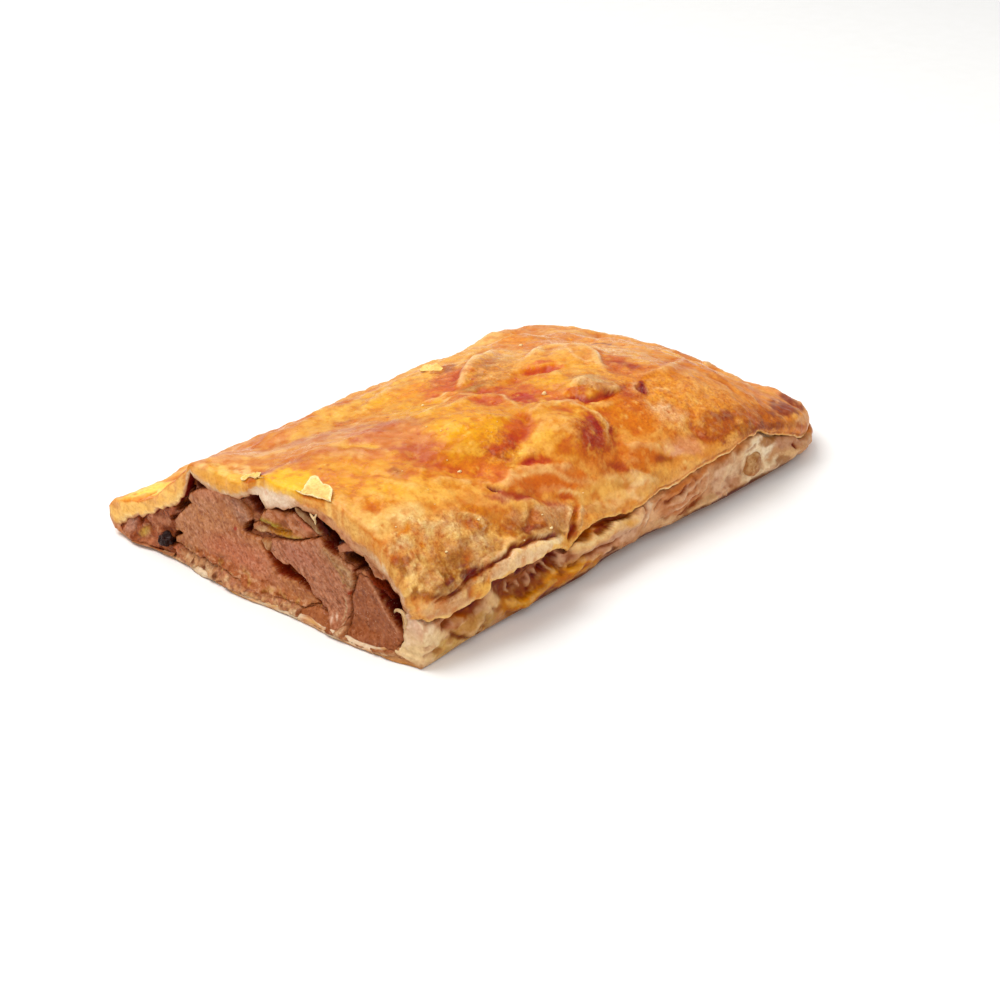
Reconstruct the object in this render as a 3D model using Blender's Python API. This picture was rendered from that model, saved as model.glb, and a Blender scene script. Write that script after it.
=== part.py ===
# Apple strudel: a wide, low slab of baked strudel, cut straight across at one
# end and closed at the other.
#
# Frame: metres, +Z up.  +X runs along the strudel from the cut face to the
# closed end, +Y runs across it from the upright near side to the thin far wing.
# The origin is the middle of the bounding box, at the bottom.
#
# The pastry is one loft of cross-sections: an outer skin with a ledge and a
# seam along the near side, a crowned top that rides over the apples, and a
# thin wing along the far side, around an inner skin that is open at the cut.
# The filling is a second loft inside it, and the pieces of apple and the raisin
# that show in the cut sit in pockets of the filling.

import math

import bmesh
import bpy
from mathutils import Matrix, Vector

MM = 0.001

# ---- driving dimensions, in millimetres ------------------------------------
LENGTH = 222.0          # along the near side, cut face to closed end
WIDTH = 147.0           # near side to the edge of the far wing
CREST = 45.5            # highest part of the top, at the cut
SHOULDER_RUN = 42.0     # how far the near shoulder takes to reach the crest
SHOULDER_POWER = 2.5    # roundness of that shoulder
DIP = 5.5               # how much lower the far half of the top lies
WING_START = 101.6      # where the top turns down towards the wing
WING_EDGE_TOP = 12.5    # height of the wing's upper edge
WING_LIFT = 2.6         # how far the underside of the wing is off the table
WING_FOOT = 118.0       # where the underside starts to lift
CUT_SKEW = 0.0556       # the cut isn't quite square: x falls by this times y
NEAR_CORNER_R = 30.0    # rounding of the closed end's near corner, in plan
FAR_CORNER_R = 17.0     # rounding of its far corner
NEAR_CORNER_DROP = 4.5  # how much lower the top lies at the near corner
FAR_CORNER_RISE = 1.6   # and how much higher at the far one
NOSE_RUN = 16.0         # length over which the closed end rounds off
NOSE_MID = 6.0          # height that it rounds off towards
NOSE_KEEP = 0.24        # what is left of its height at the very end

CRUST_TOP = 4.5         # thickness of the top pastry
CRUST_BOTTOM = 2.4      # thickness of the bottom pastry
CRUST_NEAR = 5.8        # thickness of the near side's folded wall
CRUST_WING = 8.0        # solid dough at the edge of the wing
CRUST_END = 10.0        # solid dough at the closed end
GAP = 0.3               # clearance between neighbouring pieces

N_WALL = 9              # points up the near side
N_TOP = 22              # points across the top
N_TIP = 5               # points round the wing's edge
N_BOTTOM = 12           # points along the bottom
OUTER_STATIONS = 31     # sections of the outer skin, end to end
INNER_STATIONS = 22     # sections of the inner skin and of the filling

# Humps and hollows of the top, over the pieces of apple:
# centre x, centre y, radius along x, radius along y, height.
HUMPS = (
    (70.0, 47.0, 15.0, 13.0, 2.6),
    (92.0, 19.0, 12.0, 14.0, 2.4),
    (112.0, 82.0, 12.0, 10.0, 2.2),
    (140.0, 62.0, 12.0, 12.0, 2.2),
    (125.0, 38.0, 9.0, 8.0, 1.8),
    (155.0, 30.0, 16.0, 14.0, 1.6),
    (30.0, 78.0, 18.0, 12.0, 1.2),
    (18.0, 20.0, 14.0, 12.0, 1.4),
    (50.0, 6.0, 10.0, 9.0, 1.8),
    (80.0, 72.0, 12.0, 7.0, -2.0),
    (52.0, 24.0, 14.0, 7.0, -1.8),
    (110.0, 60.0, 12.0, 8.0, -1.6),
    (112.0, 14.0, 8.0, 10.0, -1.4),
    (165.0, 70.0, 14.0, 16.0, -1.2),
    (8.0, 126.0, 15.0, 15.0, -2.4),
)


# ---- helpers ----------------------------------------------------------------
def clamp(v, lo=0.0, hi=1.0):
    return max(lo, min(hi, v))


def smooth(lo, hi, v):
    """Soft step from 0 at lo to 1 at hi; it also runs downwards, if lo > hi."""
    t = clamp((v - lo) / (hi - lo))
    return t * t * (3.0 - 2.0 * t)


def along(x, *knots):
    """Smooth curve through (position, value) pairs, flat beyond both ends."""
    if x <= knots[0][0]:
        return knots[0][1]
    if x >= knots[-1][0]:
        return knots[-1][1]
    for (x0, v0), (x1, v1) in zip(knots, knots[1:]):
        if x0 <= x <= x1:
            return v0 + (v1 - v0) * smooth(x0, x1, x)
    return knots[-1][1]


def place(x, y, z):
    """Section coordinates in mm to a point in metres, with the skewed cut."""
    return Vector(((x - CUT_SKEW * y * (1.0 - clamp(x / LENGTH))) * MM, y * MM, z * MM))


# ---- how the cross-section changes along the strudel ------------------------
def crest(x):
    return along(x, (0, CREST), (118, CREST - 1.0), (150, 42.0), (176, 35.5),
                 (192, 28.0), (206, 22.0), (LENGTH, 17.5))


def ledge_height(x):
    return along(x, (0, 16.5), (14, 18.0), (29, 22.0), (55, 22.0), (66, 16.0), (98, 16.0),
                 (108, 18.8), (132, 20.3), (150, 20.8), (167, 22.0), (177, 16.5),
                 (198, 14.0), (LENGTH, 9.0))


def ledge_out(x):
    return along(x, (0, 1.6), (20, 2.2), (30, 5.4), (58, 5.6), (67, 1.6), (76, 3.4),
                 (98, 3.0), (108, 2.2), (160, 2.0), (176, 0.9), (205, 0.5))


def seam_depth(x):
    return along(x, (0, -0.4), (22, 0.6), (34, 1.4), (60, 1.4), (66, 2.0), (98, 1.8),
                 (108, -0.6), (170, -0.6), (190, -0.4))


def foot(x):
    return along(x, (0, 0.0), (24, 2.4), (72, 2.6), (92, 5.6), (108, 6.0), (126, 4.0),
                 (150, 2.4), (186, 2.4), (200, 4.0))


def plan(x):
    """Near and far limits of the section: the closed end has round corners."""
    inset = []
    for radius in (NEAR_CORNER_R, FAR_CORNER_R):
        q = clamp((x - (LENGTH - radius)) / radius, 0.0, 0.97)
        inset.append(radius * (1.0 - math.sqrt(1.0 - q * q)))
    wave = 0.9 * math.sin(x / 17.0) * smooth(4, 20, x) - 3.2 * math.exp(-((x - 15.0) / 11.0) ** 2)
    return inset[0], WIDTH + wave - inset[1]


def nose(x, start, run):
    t = clamp((x - start) / run)
    return math.sqrt(1.0 - (1.0 - NOSE_KEEP ** 2) * t * t)


def humps(x, y):
    total = 0.0
    for cx, cy, rx, ry, h in HUMPS:
        total += h * math.exp(-((x - cx) / rx) ** 2 - ((y - cy) / ry) ** 2)
    return total


def top_height(x, v):
    """Height of the outer top at v mm across the full-width section."""
    top = crest(x)
    wall = min(ledge_height(x) + 6.0, top - 4.0)
    ratio = top / CREST
    far = top - DIP * ratio
    if v < WING_START:
        u = clamp((v + 0.4) / SHOULDER_RUN)
        z = wall + (top - wall) * (1.0 - (1.0 - u) ** SHOULDER_POWER)
        z -= DIP * ratio * smooth(64.0, 80.0, v)
    else:
        edge = WING_EDGE_TOP * (0.45 + 0.55 * ratio)
        t = clamp((WIDTH - v) / (WIDTH - WING_START))
        z = edge + (far - edge) * t ** 1.4
    end = smooth(168.0, 208.0, x)
    z -= NEAR_CORNER_DROP * end * smooth(74.0, 12.0, v) * smooth(-6.0, 12.0, v)
    z += FAR_CORNER_RISE * end * smooth(66.0, 112.0, v)
    z += 0.9 * smooth(84.0, 104.0, x) * smooth(96.0, 116.0, v)
    inside = smooth(0.0, 14.0, v) * smooth(WIDTH, 132.0, v)
    return z + humps(x, v) * max(0.0, inside) * smooth(0.0, 12.0, x + 8.0) * ratio


def bottom_height(v):
    return WING_LIFT * smooth(WING_FOOT, WIDTH, v)


def outer_section(x):
    ya, yb = plan(x)
    scale = (yb - ya) / WIDTH
    k = nose(x, LENGTH - NOSE_RUN, NOSE_RUN)
    zl = min(ledge_height(x), crest(x) - 8.0)
    lip, seam, y0 = ledge_out(x), seam_depth(x), foot(x)
    wall_top = top_height(x, -0.4)
    pts = [
        (y0, 0.0),
        (y0 * 0.45 - 0.8, 0.18 * zl),
        (-1.4, 0.42 * zl),
        (-1.9, zl - 4.4),
        (-lip, zl - 1.3),
        (-lip - 0.2, zl + 0.2),
        (-lip * 0.3, zl + 2.0),
        (seam, zl + 3.2),
        (-1.6 * clamp(1.0 + seam), min(zl + 5.4, wall_top)),
    ]
    assert len(pts) == N_WALL
    v_end = WIDTH - 5.0
    for i in range(N_TOP):
        v = 1.2 + (v_end - 1.2) * (i / (N_TOP - 1.0)) ** 1.08
        pts.append((v * 1.0, top_height(x, v)))
    edge = top_height(x, v_end)
    low = bottom_height(WIDTH)
    for i in range(N_TIP):
        a = math.radians(62.0 - 152.0 * i / (N_TIP - 1.0))
        r = 0.5 * (edge - low - 1.0)
        pts.append((WIDTH - 5.0 + 5.2 * max(0.0, math.cos(a)), low + r + r * math.sin(a) + 0.4))
    for i in range(N_BOTTOM):
        t = i / float(N_BOTTOM)
        v = (WIDTH - 12.0) * (1.0 - t) + (y0 + 6.0) * t
        pts.append((v, bottom_height(v)))
    out = []
    for v, z in pts:
        out.append((ya + v * scale, NOSE_MID + (z - NOSE_MID) * k))
    return out


def inner_section(x):
    """Inner skin of the pastry, which the filling follows."""
    ya, yb = plan(x)
    scale = (yb - ya) / WIDTH
    k = nose(x, LENGTH - CRUST_END - NOSE_RUN, NOSE_RUN)
    kt = nose(x, LENGTH - NOSE_RUN, NOSE_RUN)
    y0 = foot(x)
    near = CRUST_NEAR
    far = WIDTH - CRUST_WING
    bottom = CRUST_BOTTOM

    def roof(v):
        thick = CRUST_TOP + 1.2 * smooth(110.0, far, v)
        return max(bottom + 1.2, NOSE_MID + (top_height(x, v) - NOSE_MID) * kt - thick)

    zr = min(roof(near), crest(x) - CRUST_TOP - 2.0)
    pts = []
    for i in range(N_WALL):
        z = bottom + (zr - 1.6 - bottom) * i / (N_WALL - 1.0)
        pts.append((near + max(0.0, y0 - 2.0) * clamp(1.0 - z / 9.0), z))
    for i in range(N_TOP):
        v = near + 1.2 + (far - 4.0 - near) * (i / (N_TOP - 1.0)) ** 1.08
        pts.append((v, roof(v)))
    zt, zb = roof(far - 3.0), bottom_height(far) + bottom
    for i in range(N_TIP):
        t = (i + 0.5) / N_TIP
        pts.append((far - 2.6 + 2.6 * math.sin(math.pi * t), zt + (zb - zt) * t))
    for i in range(N_BOTTOM):
        t = i / float(N_BOTTOM)
        v = (far - 3.5) * (1.0 - t) + (near + max(0.0, y0 - 2.0) + 5.0) * t
        pts.append((v, bottom_height(v) + bottom))
    zmid = NOSE_MID + 1.0
    return [(ya + v * scale, zmid + (z - zmid) * k) for v, z in pts]


# ---- making the meshes ------------------------------------------------------
def ring(bm, x, section):
    return [bm.verts.new(place(x, y, z)) for y, z in section]


def bridge(bm, a, b):
    n = len(a)
    for i in range(n):
        j = (i + 1) % n
        bm.faces.new((a[i], a[j], b[j]))
        bm.faces.new((a[i], b[j], b[i]))


def finish(name, bm, collection, colour, roughness):
    bmesh.ops.recalc_face_normals(bm, faces=bm.faces[:])
    bmesh.ops.triangulate(bm, faces=bm.faces[:])
    if bm.calc_volume(signed=True) < 0.0:
        bmesh.ops.reverse_faces(bm, faces=bm.faces[:])
    mesh = bpy.data.meshes.new(name)
    bm.to_mesh(mesh)
    bm.free()
    mesh.shade_smooth()
    obj = bpy.data.objects.new(name, mesh)
    collection.objects.link(obj)
    if colour is not None:
        mat = bpy.data.materials.new(name)
        mat.use_nodes = True
        shader = mat.node_tree.nodes["Principled BSDF"]
        shader.inputs["Base Color"].default_value = (*colour, 1.0)
        shader.inputs["Roughness"].default_value = roughness
        shader.inputs["Metallic"].default_value = 0.0
        mesh.materials.append(mat)
    return obj


def stations(end, count):
    """Evenly spread stations that crowd together where the end rounds off."""
    body = [(end - NOSE_RUN) * i / (count - 6.0) for i in range(count - 5)]
    tail = [end - NOSE_RUN + NOSE_RUN * math.sin(math.radians(90.0 * i / 5.0)) for i in range(1, 6)]
    return body + tail


def make_pastry(collection):
    bm = bmesh.new()
    outer = [ring(bm, x, outer_section(x)) for x in stations(LENGTH, OUTER_STATIONS)]
    inner = [ring(bm, x, inner_section(x)) for x in stations(LENGTH - CRUST_END, INNER_STATIONS)]
    for rings in (outer, inner):
        for a, b in zip(rings, rings[1:]):
            bridge(bm, a, b)
        bm.faces.new(rings[-1])
    bridge(bm, outer[0], inner[0])
    return finish("pastry", bm, collection, (0.78, 0.42, 0.13), 0.42)


def make_filling(collection):
    bm = bmesh.new()
    end = LENGTH - CRUST_END
    rings = [ring(bm, x - GAP * smooth(end - NOSE_RUN, end, x), grow(inner_section(x), -GAP * 1.1))
             for x in stations(end, INNER_STATIONS)]
    for a, b in zip(rings, rings[1:]):
        bridge(bm, a, b)
    bm.faces.new(rings[0])
    bm.faces.new(rings[-1])
    return finish("apple_filling", bm, collection, (0.42, 0.20, 0.11), 0.45)


def grow(outline, amount):
    """The outline moved outwards by the given amount."""
    n = len(outline)
    area = sum(outline[i][0] * outline[(i + 1) % n][1] - outline[(i + 1) % n][0] * outline[i][1]
               for i in range(n))
    sign = 1.0 if area > 0 else -1.0
    out = []
    for i in range(n):
        a, b, c = Vector(outline[i - 1]), Vector(outline[i]), Vector(outline[(i + 1) % n])
        n1 = Vector((b.y - a.y, a.x - b.x)).normalized()
        n2 = Vector((c.y - b.y, b.x - c.x)).normalized()
        m = n1 + n2
        m = m / max(0.35, m.dot(n1))
        out.append((b.x + sign * m.x * amount, b.y + sign * m.y * amount))
    return out


def soften(outline):
    """One round of corner cutting, which rounds off a coarse outline."""
    out = []
    for i in range(len(outline)):
        a, b = Vector(outline[i]), Vector(outline[(i + 1) % len(outline)])
        out.append(tuple(a * 0.78 + b * 0.22))
        out.append(tuple(a * 0.22 + b * 0.78))
    return out


def make_apple(name, outline, depth, lean, collection, colour, roughness, extra=0.0, front=0.0):
    """A piece of apple: its cut outline, run back into the filling and rounded
    off.  lean shifts its far end sideways and up, in mm."""
    shape = soften(outline)
    if extra:
        shape = grow(shape, extra)
    cy = sum(p[0] for p in shape) / len(shape)
    cz = sum(p[1] for p in shape) / len(shape)
    bm = bmesh.new()
    rings = []
    total = depth + extra
    steps = 6
    for i in range(steps + 1):
        t = i / float(steps)
        x = -front if i == 0 else total * math.sin(math.radians(90.0 * t))
        s = math.sqrt(max(0.0, 1.0 - (0.9 * x / total) ** 2)) if i else 1.0
        sy, sz = cy + lean[0] * t, cz + lean[1] * t
        rings.append(ring(bm, x, [(sy + (y - cy) * s, sz + (z - cz) * s) for y, z in shape]))
    for a, b in zip(rings, rings[1:]):
        bridge(bm, a, b)
    bm.faces.new(rings[0])
    bm.faces.new(rings[-1])
    return finish(name, bm, collection, colour, roughness)


def make_round(name, centre, radii, tilt, collection, colour, roughness, extra=0.0):
    """A raisin or a rounded lump: a squashed sphere."""
    bm = bmesh.new()
    bmesh.ops.create_uvsphere(bm, u_segments=14, v_segments=9, radius=1.0)
    size = Matrix.Diagonal(Vector([(r + extra) * MM for r in radii]).to_4d())
    turn = Matrix.Rotation(math.radians(tilt), 4, "Y")
    bm.transform(Matrix.Translation(place(*centre)) @ turn @ size)
    return finish(name, bm, collection, colour, roughness)


def carve(target, cutter, cutters):
    cutter.hide_render = True
    cutter.display_type = "WIRE"
    mod = target.modifiers.new(cutter.name, "BOOLEAN")
    mod.operation = "DIFFERENCE"
    mod.solver = "EXACT"
    mod.object = cutter


# Outlines in the cut, as (across, up) in mm.
APPLES = {
    "apple_wedge_left": {
        "outline": ((104.0, 24.5), (97.0, 29.6), (88.0, 32.4), (80.0, 31.6), (74.5, 27.0),
                    (75.0, 20.5), (66.0, 17.2), (52.0, 11.8), (43.5, 6.0), (56.0, 4.0),
                    (76.0, 4.4), (96.0, 5.4), (110.0, 5.6), (110.5, 12.0), (109.0, 19.5)),
        "depth": 30.0, "lean": (2.0, 0.5), "colour": (0.47, 0.25, 0.15)},
    "apple_wedge_middle": {
        "outline": ((64.2, 22.6), (53.0, 24.0), (45.5, 26.0), (39.0, 28.4), (34.0, 27.2),
                    (31.0, 22.5), (30.4, 15.0), (31.2, 8.5), (35.0, 4.6), (43.0, 9.6),
                    (51.0, 15.2), (57.0, 18.0)),
        "depth": 27.0, "lean": (-1.0, 1.0), "colour": (0.46, 0.25, 0.17)},
    "apple_wedge_right": {
        "outline": ((27.6, 23.4), (22.6, 23.6), (16.6, 18.2), (11.6, 12.8), (8.0, 9.4),
                    (8.2, 5.4), (15.6, 3.8), (23.0, 4.4), (28.2, 4.2), (28.4, 10.0),
                    (28.4, 17.5)),
        "depth": 25.0, "lean": (1.0, 1.0), "colour": (0.48, 0.27, 0.19)},
    "apple_slice_green_peel": {
        "outline": ((66.0, 34.0), (58.0, 36.4), (51.5, 37.2), (46.0, 35.4), (41.5, 32.8),
                    (40.6, 30.4), (48.0, 27.4), (57.0, 26.8), (68.5, 26.0), (68.8, 29.0)),
        "depth": 22.0, "lean": (1.0, -1.0), "colour": (0.40, 0.27, 0.13)},
}
RAISIN = {"centre": (1.2, 116.4, 6.2), "radii": (3.0, 3.2, 3.6), "tilt": 18.0}
SIDE_APPLE = {"centre": (166.8, -0.4, 9.6), "radii": (5.6, 3.6, 5.2), "tilt": 28.0}
# The open space between the right-hand apple and the near wall, at the cut.
HOLLOW = ((24.6, 27.6), (11.0, 24.6), (8.2, 20.0), (7.6, 12.4), (11.4, 15.6), (16.4, 20.6))
HOLLOW_DEPTH = 13.0


def main():
    for obj in list(bpy.data.objects):
        bpy.data.objects.remove(obj, do_unlink=True)
    scene = bpy.context.scene
    parts = bpy.data.collections.new("apple_strudel")
    cutters = bpy.data.collections.new("cutters")
    scene.collection.children.link(parts)
    scene.collection.children.link(cutters)

    pastry = make_pastry(parts)
    filling = make_filling(parts)

    made = [pastry, filling]
    for name, spec in APPLES.items():
        made.append(make_apple(name, spec["outline"], spec["depth"], spec["lean"], parts,
                               spec["colour"], 0.45))
        carve(filling, make_apple("pocket_" + name, spec["outline"], spec["depth"], spec["lean"],
                                  cutters, None, 0.5, extra=GAP, front=2.0), cutters)
    carve(filling, make_apple("pocket_hollow", HOLLOW, HOLLOW_DEPTH, (0.0, 0.0), cutters, None,
                              0.5, front=2.0), cutters)

    made.append(make_round("raisin", RAISIN["centre"], RAISIN["radii"], RAISIN["tilt"], parts,
                           (0.06, 0.02, 0.02), 0.3))
    carve(filling, make_round("pocket_raisin", RAISIN["centre"], RAISIN["radii"], RAISIN["tilt"],
                              cutters, None, 0.5, extra=GAP), cutters)

    made.append(make_round("apple_piece_side", SIDE_APPLE["centre"], SIDE_APPLE["radii"],
                           SIDE_APPLE["tilt"], parts, (0.55, 0.36, 0.18), 0.4))
    carve(pastry, make_round("pocket_side", SIDE_APPLE["centre"], SIDE_APPLE["radii"],
                             SIDE_APPLE["tilt"], cutters, None, 0.5, extra=GAP), cutters)

    # Put the origin at the middle of the bounding box, at the bottom.
    low = [min(v.co[i] for o in made for v in o.data.vertices) for i in range(3)]
    high = [max(v.co[i] for o in made for v in o.data.vertices) for i in range(3)]
    shift = Matrix.Translation((-(low[0] + high[0]) / 2.0, -(low[1] + high[1]) / 2.0, -low[2]))
    for obj in list(parts.objects) + list(cutters.objects):
        obj.data.transform(shift)
        obj.data.update()


main()
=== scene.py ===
# Looks of the apple strudel: baked crust, near side with its flaps, cut face
# with wedges of apple, raisin, flakes and crumbs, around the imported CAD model.
import math

import bmesh
import bpy
import numpy as np
from mathutils import Matrix, Vector
from mathutils.kdtree import KDTree


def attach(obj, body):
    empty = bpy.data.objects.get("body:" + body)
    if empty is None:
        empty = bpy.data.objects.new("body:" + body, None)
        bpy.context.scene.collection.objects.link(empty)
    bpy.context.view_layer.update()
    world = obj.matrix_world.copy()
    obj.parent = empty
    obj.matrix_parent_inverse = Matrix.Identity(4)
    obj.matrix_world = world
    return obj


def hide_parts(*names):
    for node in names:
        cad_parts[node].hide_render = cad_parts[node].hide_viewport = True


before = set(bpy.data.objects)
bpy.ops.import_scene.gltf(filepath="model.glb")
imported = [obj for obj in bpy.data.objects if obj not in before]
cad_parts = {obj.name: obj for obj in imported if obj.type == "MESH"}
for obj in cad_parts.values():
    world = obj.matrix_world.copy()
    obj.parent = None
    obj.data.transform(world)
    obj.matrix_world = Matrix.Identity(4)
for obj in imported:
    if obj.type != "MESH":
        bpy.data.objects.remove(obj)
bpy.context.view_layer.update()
np.seterr(all="ignore")

# ---------------------------------------------------------------------------
# Section coordinates: millimetres, x along the strudel from the cut, y across
# from the near side, z up.  The CAD frame is the same, moved and in metres.
# ---------------------------------------------------------------------------
OFF = np.array([106.899, 71.075, 0.0])
LENGTH, WIDTH, CREST = 222.0, 147.0, 45.5
SKEW = 0.0556

# The camera in section coordinates: where it stands, and its right, down and
# forward directions.  The focal length is 2000 pixels on a 1000 pixel picture.
CAM = np.array([-361.592, -380.203, 329.095])
RIGHT = np.array([0.68659002, -0.72695473, -0.01144441])
DOWN = np.array([-0.34056722, -0.30767006, -0.88845546])
AHEAD = np.array([0.64234579, 0.61390224, -0.45882015])
FOCAL = 2000.0


def to_frame(p):
    """Section millimetres to metres in the CAD frame."""
    return (np.asarray(p, float) - OFF) * 0.001


def pixel(p):
    """Where a point shows in the 1000 x 1000 picture."""
    d = np.asarray(p, float) - CAM
    f = d @ AHEAD
    return np.stack([500.0 + FOCAL * (d @ RIGHT) / f, 500.0 + FOCAL * (d @ DOWN) / f], -1)


def on_plane(px, py, axis, value):
    """The point of plane axis = value that shows at a pixel."""
    ray = AHEAD + RIGHT * ((px - 500.0) / FOCAL) + DOWN * ((py - 500.0) / FOCAL)
    return CAM + ray * ((value - CAM[axis]) / ray[axis])


def on_cut(px, py, x0=0.0):
    """The point (y, z) of the cut plane that shows at a pixel."""
    ray = AHEAD + RIGHT * ((px - 500.0) / FOCAL) + DOWN * ((py - 500.0) / FOCAL)
    f0 = CAM[0] + SKEW * CAM[1] - x0
    fd = ray[0] + SKEW * ray[1]
    p = CAM - ray * (f0 / fd)
    return p[1], p[2]


# ---------------------------------------------------------------------------
# Small numeric helpers
# ---------------------------------------------------------------------------
def clamp(v, lo=0.0, hi=1.0):
    return np.clip(v, lo, hi)


def smooth(lo, hi, v):
    t = clamp((np.asarray(v, float) - lo) / (hi - lo))
    return t * t * (3.0 - 2.0 * t)


def along(x, *knots):
    """Smooth curve through (position, value) pairs, flat beyond both ends."""
    x = np.asarray(x, float)
    out = np.full(x.shape, float(knots[0][1]))
    for (x0, v0), (x1, v1) in zip(knots, knots[1:]):
        out = np.where(x > x0, v0 + (v1 - v0) * smooth(x0, x1, x), out)
    return out


def lattice(ix, iy, iz, seed):
    h = (ix.astype(np.int64) * 0x9E3779B1) ^ (iy.astype(np.int64) * 0x85EBCA77) ^ (iz.astype(np.int64) * 0xC2B2AE3D)
    h = (h ^ (seed * 0x27D4EB2F)) & 0xFFFFFFFF
    h = ((h ^ (h >> 15)) * 0x2C1B3C6D) & 0xFFFFFFFF
    h = ((h ^ (h >> 12)) * 0x297A2D39) & 0xFFFFFFFF
    return (h ^ (h >> 15)) / 4294967295.0


def noise(p, size=1.0, seed=1):
    """Smooth value noise from -1 to 1, with features of the given size in mm."""
    p = np.asarray(p, float) / size + 17.31 * seed
    i = np.floor(p).astype(np.int64)
    f = p - i
    f = f * f * f * (f * (f * 6.0 - 15.0) + 10.0)
    out = 0.0
    for dx in (0, 1):
        wx = f[..., 0] if dx else 1.0 - f[..., 0]
        for dy in (0, 1):
            wy = f[..., 1] if dy else 1.0 - f[..., 1]
            for dz in (0, 1):
                wz = f[..., 2] if dz else 1.0 - f[..., 2]
                out = out + wx * wy * wz * lattice(i[..., 0] + dx, i[..., 1] + dy, i[..., 2] + dz, seed)
    return out * 2.0 - 1.0


def fbm(p, size, octaves=4, seed=1, gain=0.5, stretch=None):
    p = np.asarray(p, float)
    if stretch is not None:
        p = p * np.asarray(stretch, float)
    total, amp, norm = 0.0, 1.0, 0.0
    for o in range(octaves):
        total = total + amp * noise(p, size / 2.0 ** o, seed + 31 * o)
        norm += amp
        amp *= gain
    return total / norm * 1.6


def ridged(p, size, octaves=3, seed=1, stretch=None):
    p = np.asarray(p, float)
    if stretch is not None:
        p = p * np.asarray(stretch, float)
    total, amp, norm = 0.0, 1.0, 0.0
    for o in range(octaves):
        total = total + amp * (1.0 - np.abs(noise(p, size / 2.0 ** o, seed + 17 * o)) * 2.0)
        norm += amp
        amp *= 0.5
    return total / norm


def cells(p, size, seed=5):
    """Distance to the nearest of scattered points, for blisters: 0 to about 1."""
    p = np.asarray(p, float) / size
    base = np.floor(p).astype(np.int64)
    best = np.full(p.shape[:-1], 9.0)
    pick = np.zeros(p.shape[:-1])
    for dx in (-1, 0, 1):
        for dy in (-1, 0, 1):
            for dz in (-1, 0, 1):
                c = base + np.array([dx, dy, dz])
                h = [lattice(c[..., 0], c[..., 1], c[..., 2], seed + s) for s in (0, 7, 13, 29)]
                d2 = sum((c[..., i] + h[i] - p[..., i]) ** 2 for i in range(3))
                pick = np.where(d2 < best, h[3], pick)
                best = np.minimum(best, d2)
    return np.sqrt(best), pick


def to_linear(rgb):
    c = clamp(np.asarray(rgb, float) / 255.0)
    return np.where(c <= 0.04045, c / 12.92, ((c + 0.055) / 1.055) ** 2.4)


def blob(pix, cx, cy, rx, ry, turn=0.0, softness=1.0):
    """Soft oval patch in picture coordinates."""
    a = math.radians(turn)
    dx, dy = pix[..., 0] - cx, pix[..., 1] - cy
    u = (dx * math.cos(a) + dy * math.sin(a)) / rx
    v = (-dx * math.sin(a) + dy * math.cos(a)) / ry
    return np.exp(-(u * u + v * v) ** softness)


def bezier(p0, p1, p2, p3, t):
    s = 1.0 - t
    return s ** 3 * p0 + 3 * s * s * t * p1 + 3 * s * t * t * p2 + t ** 3 * p3


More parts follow.
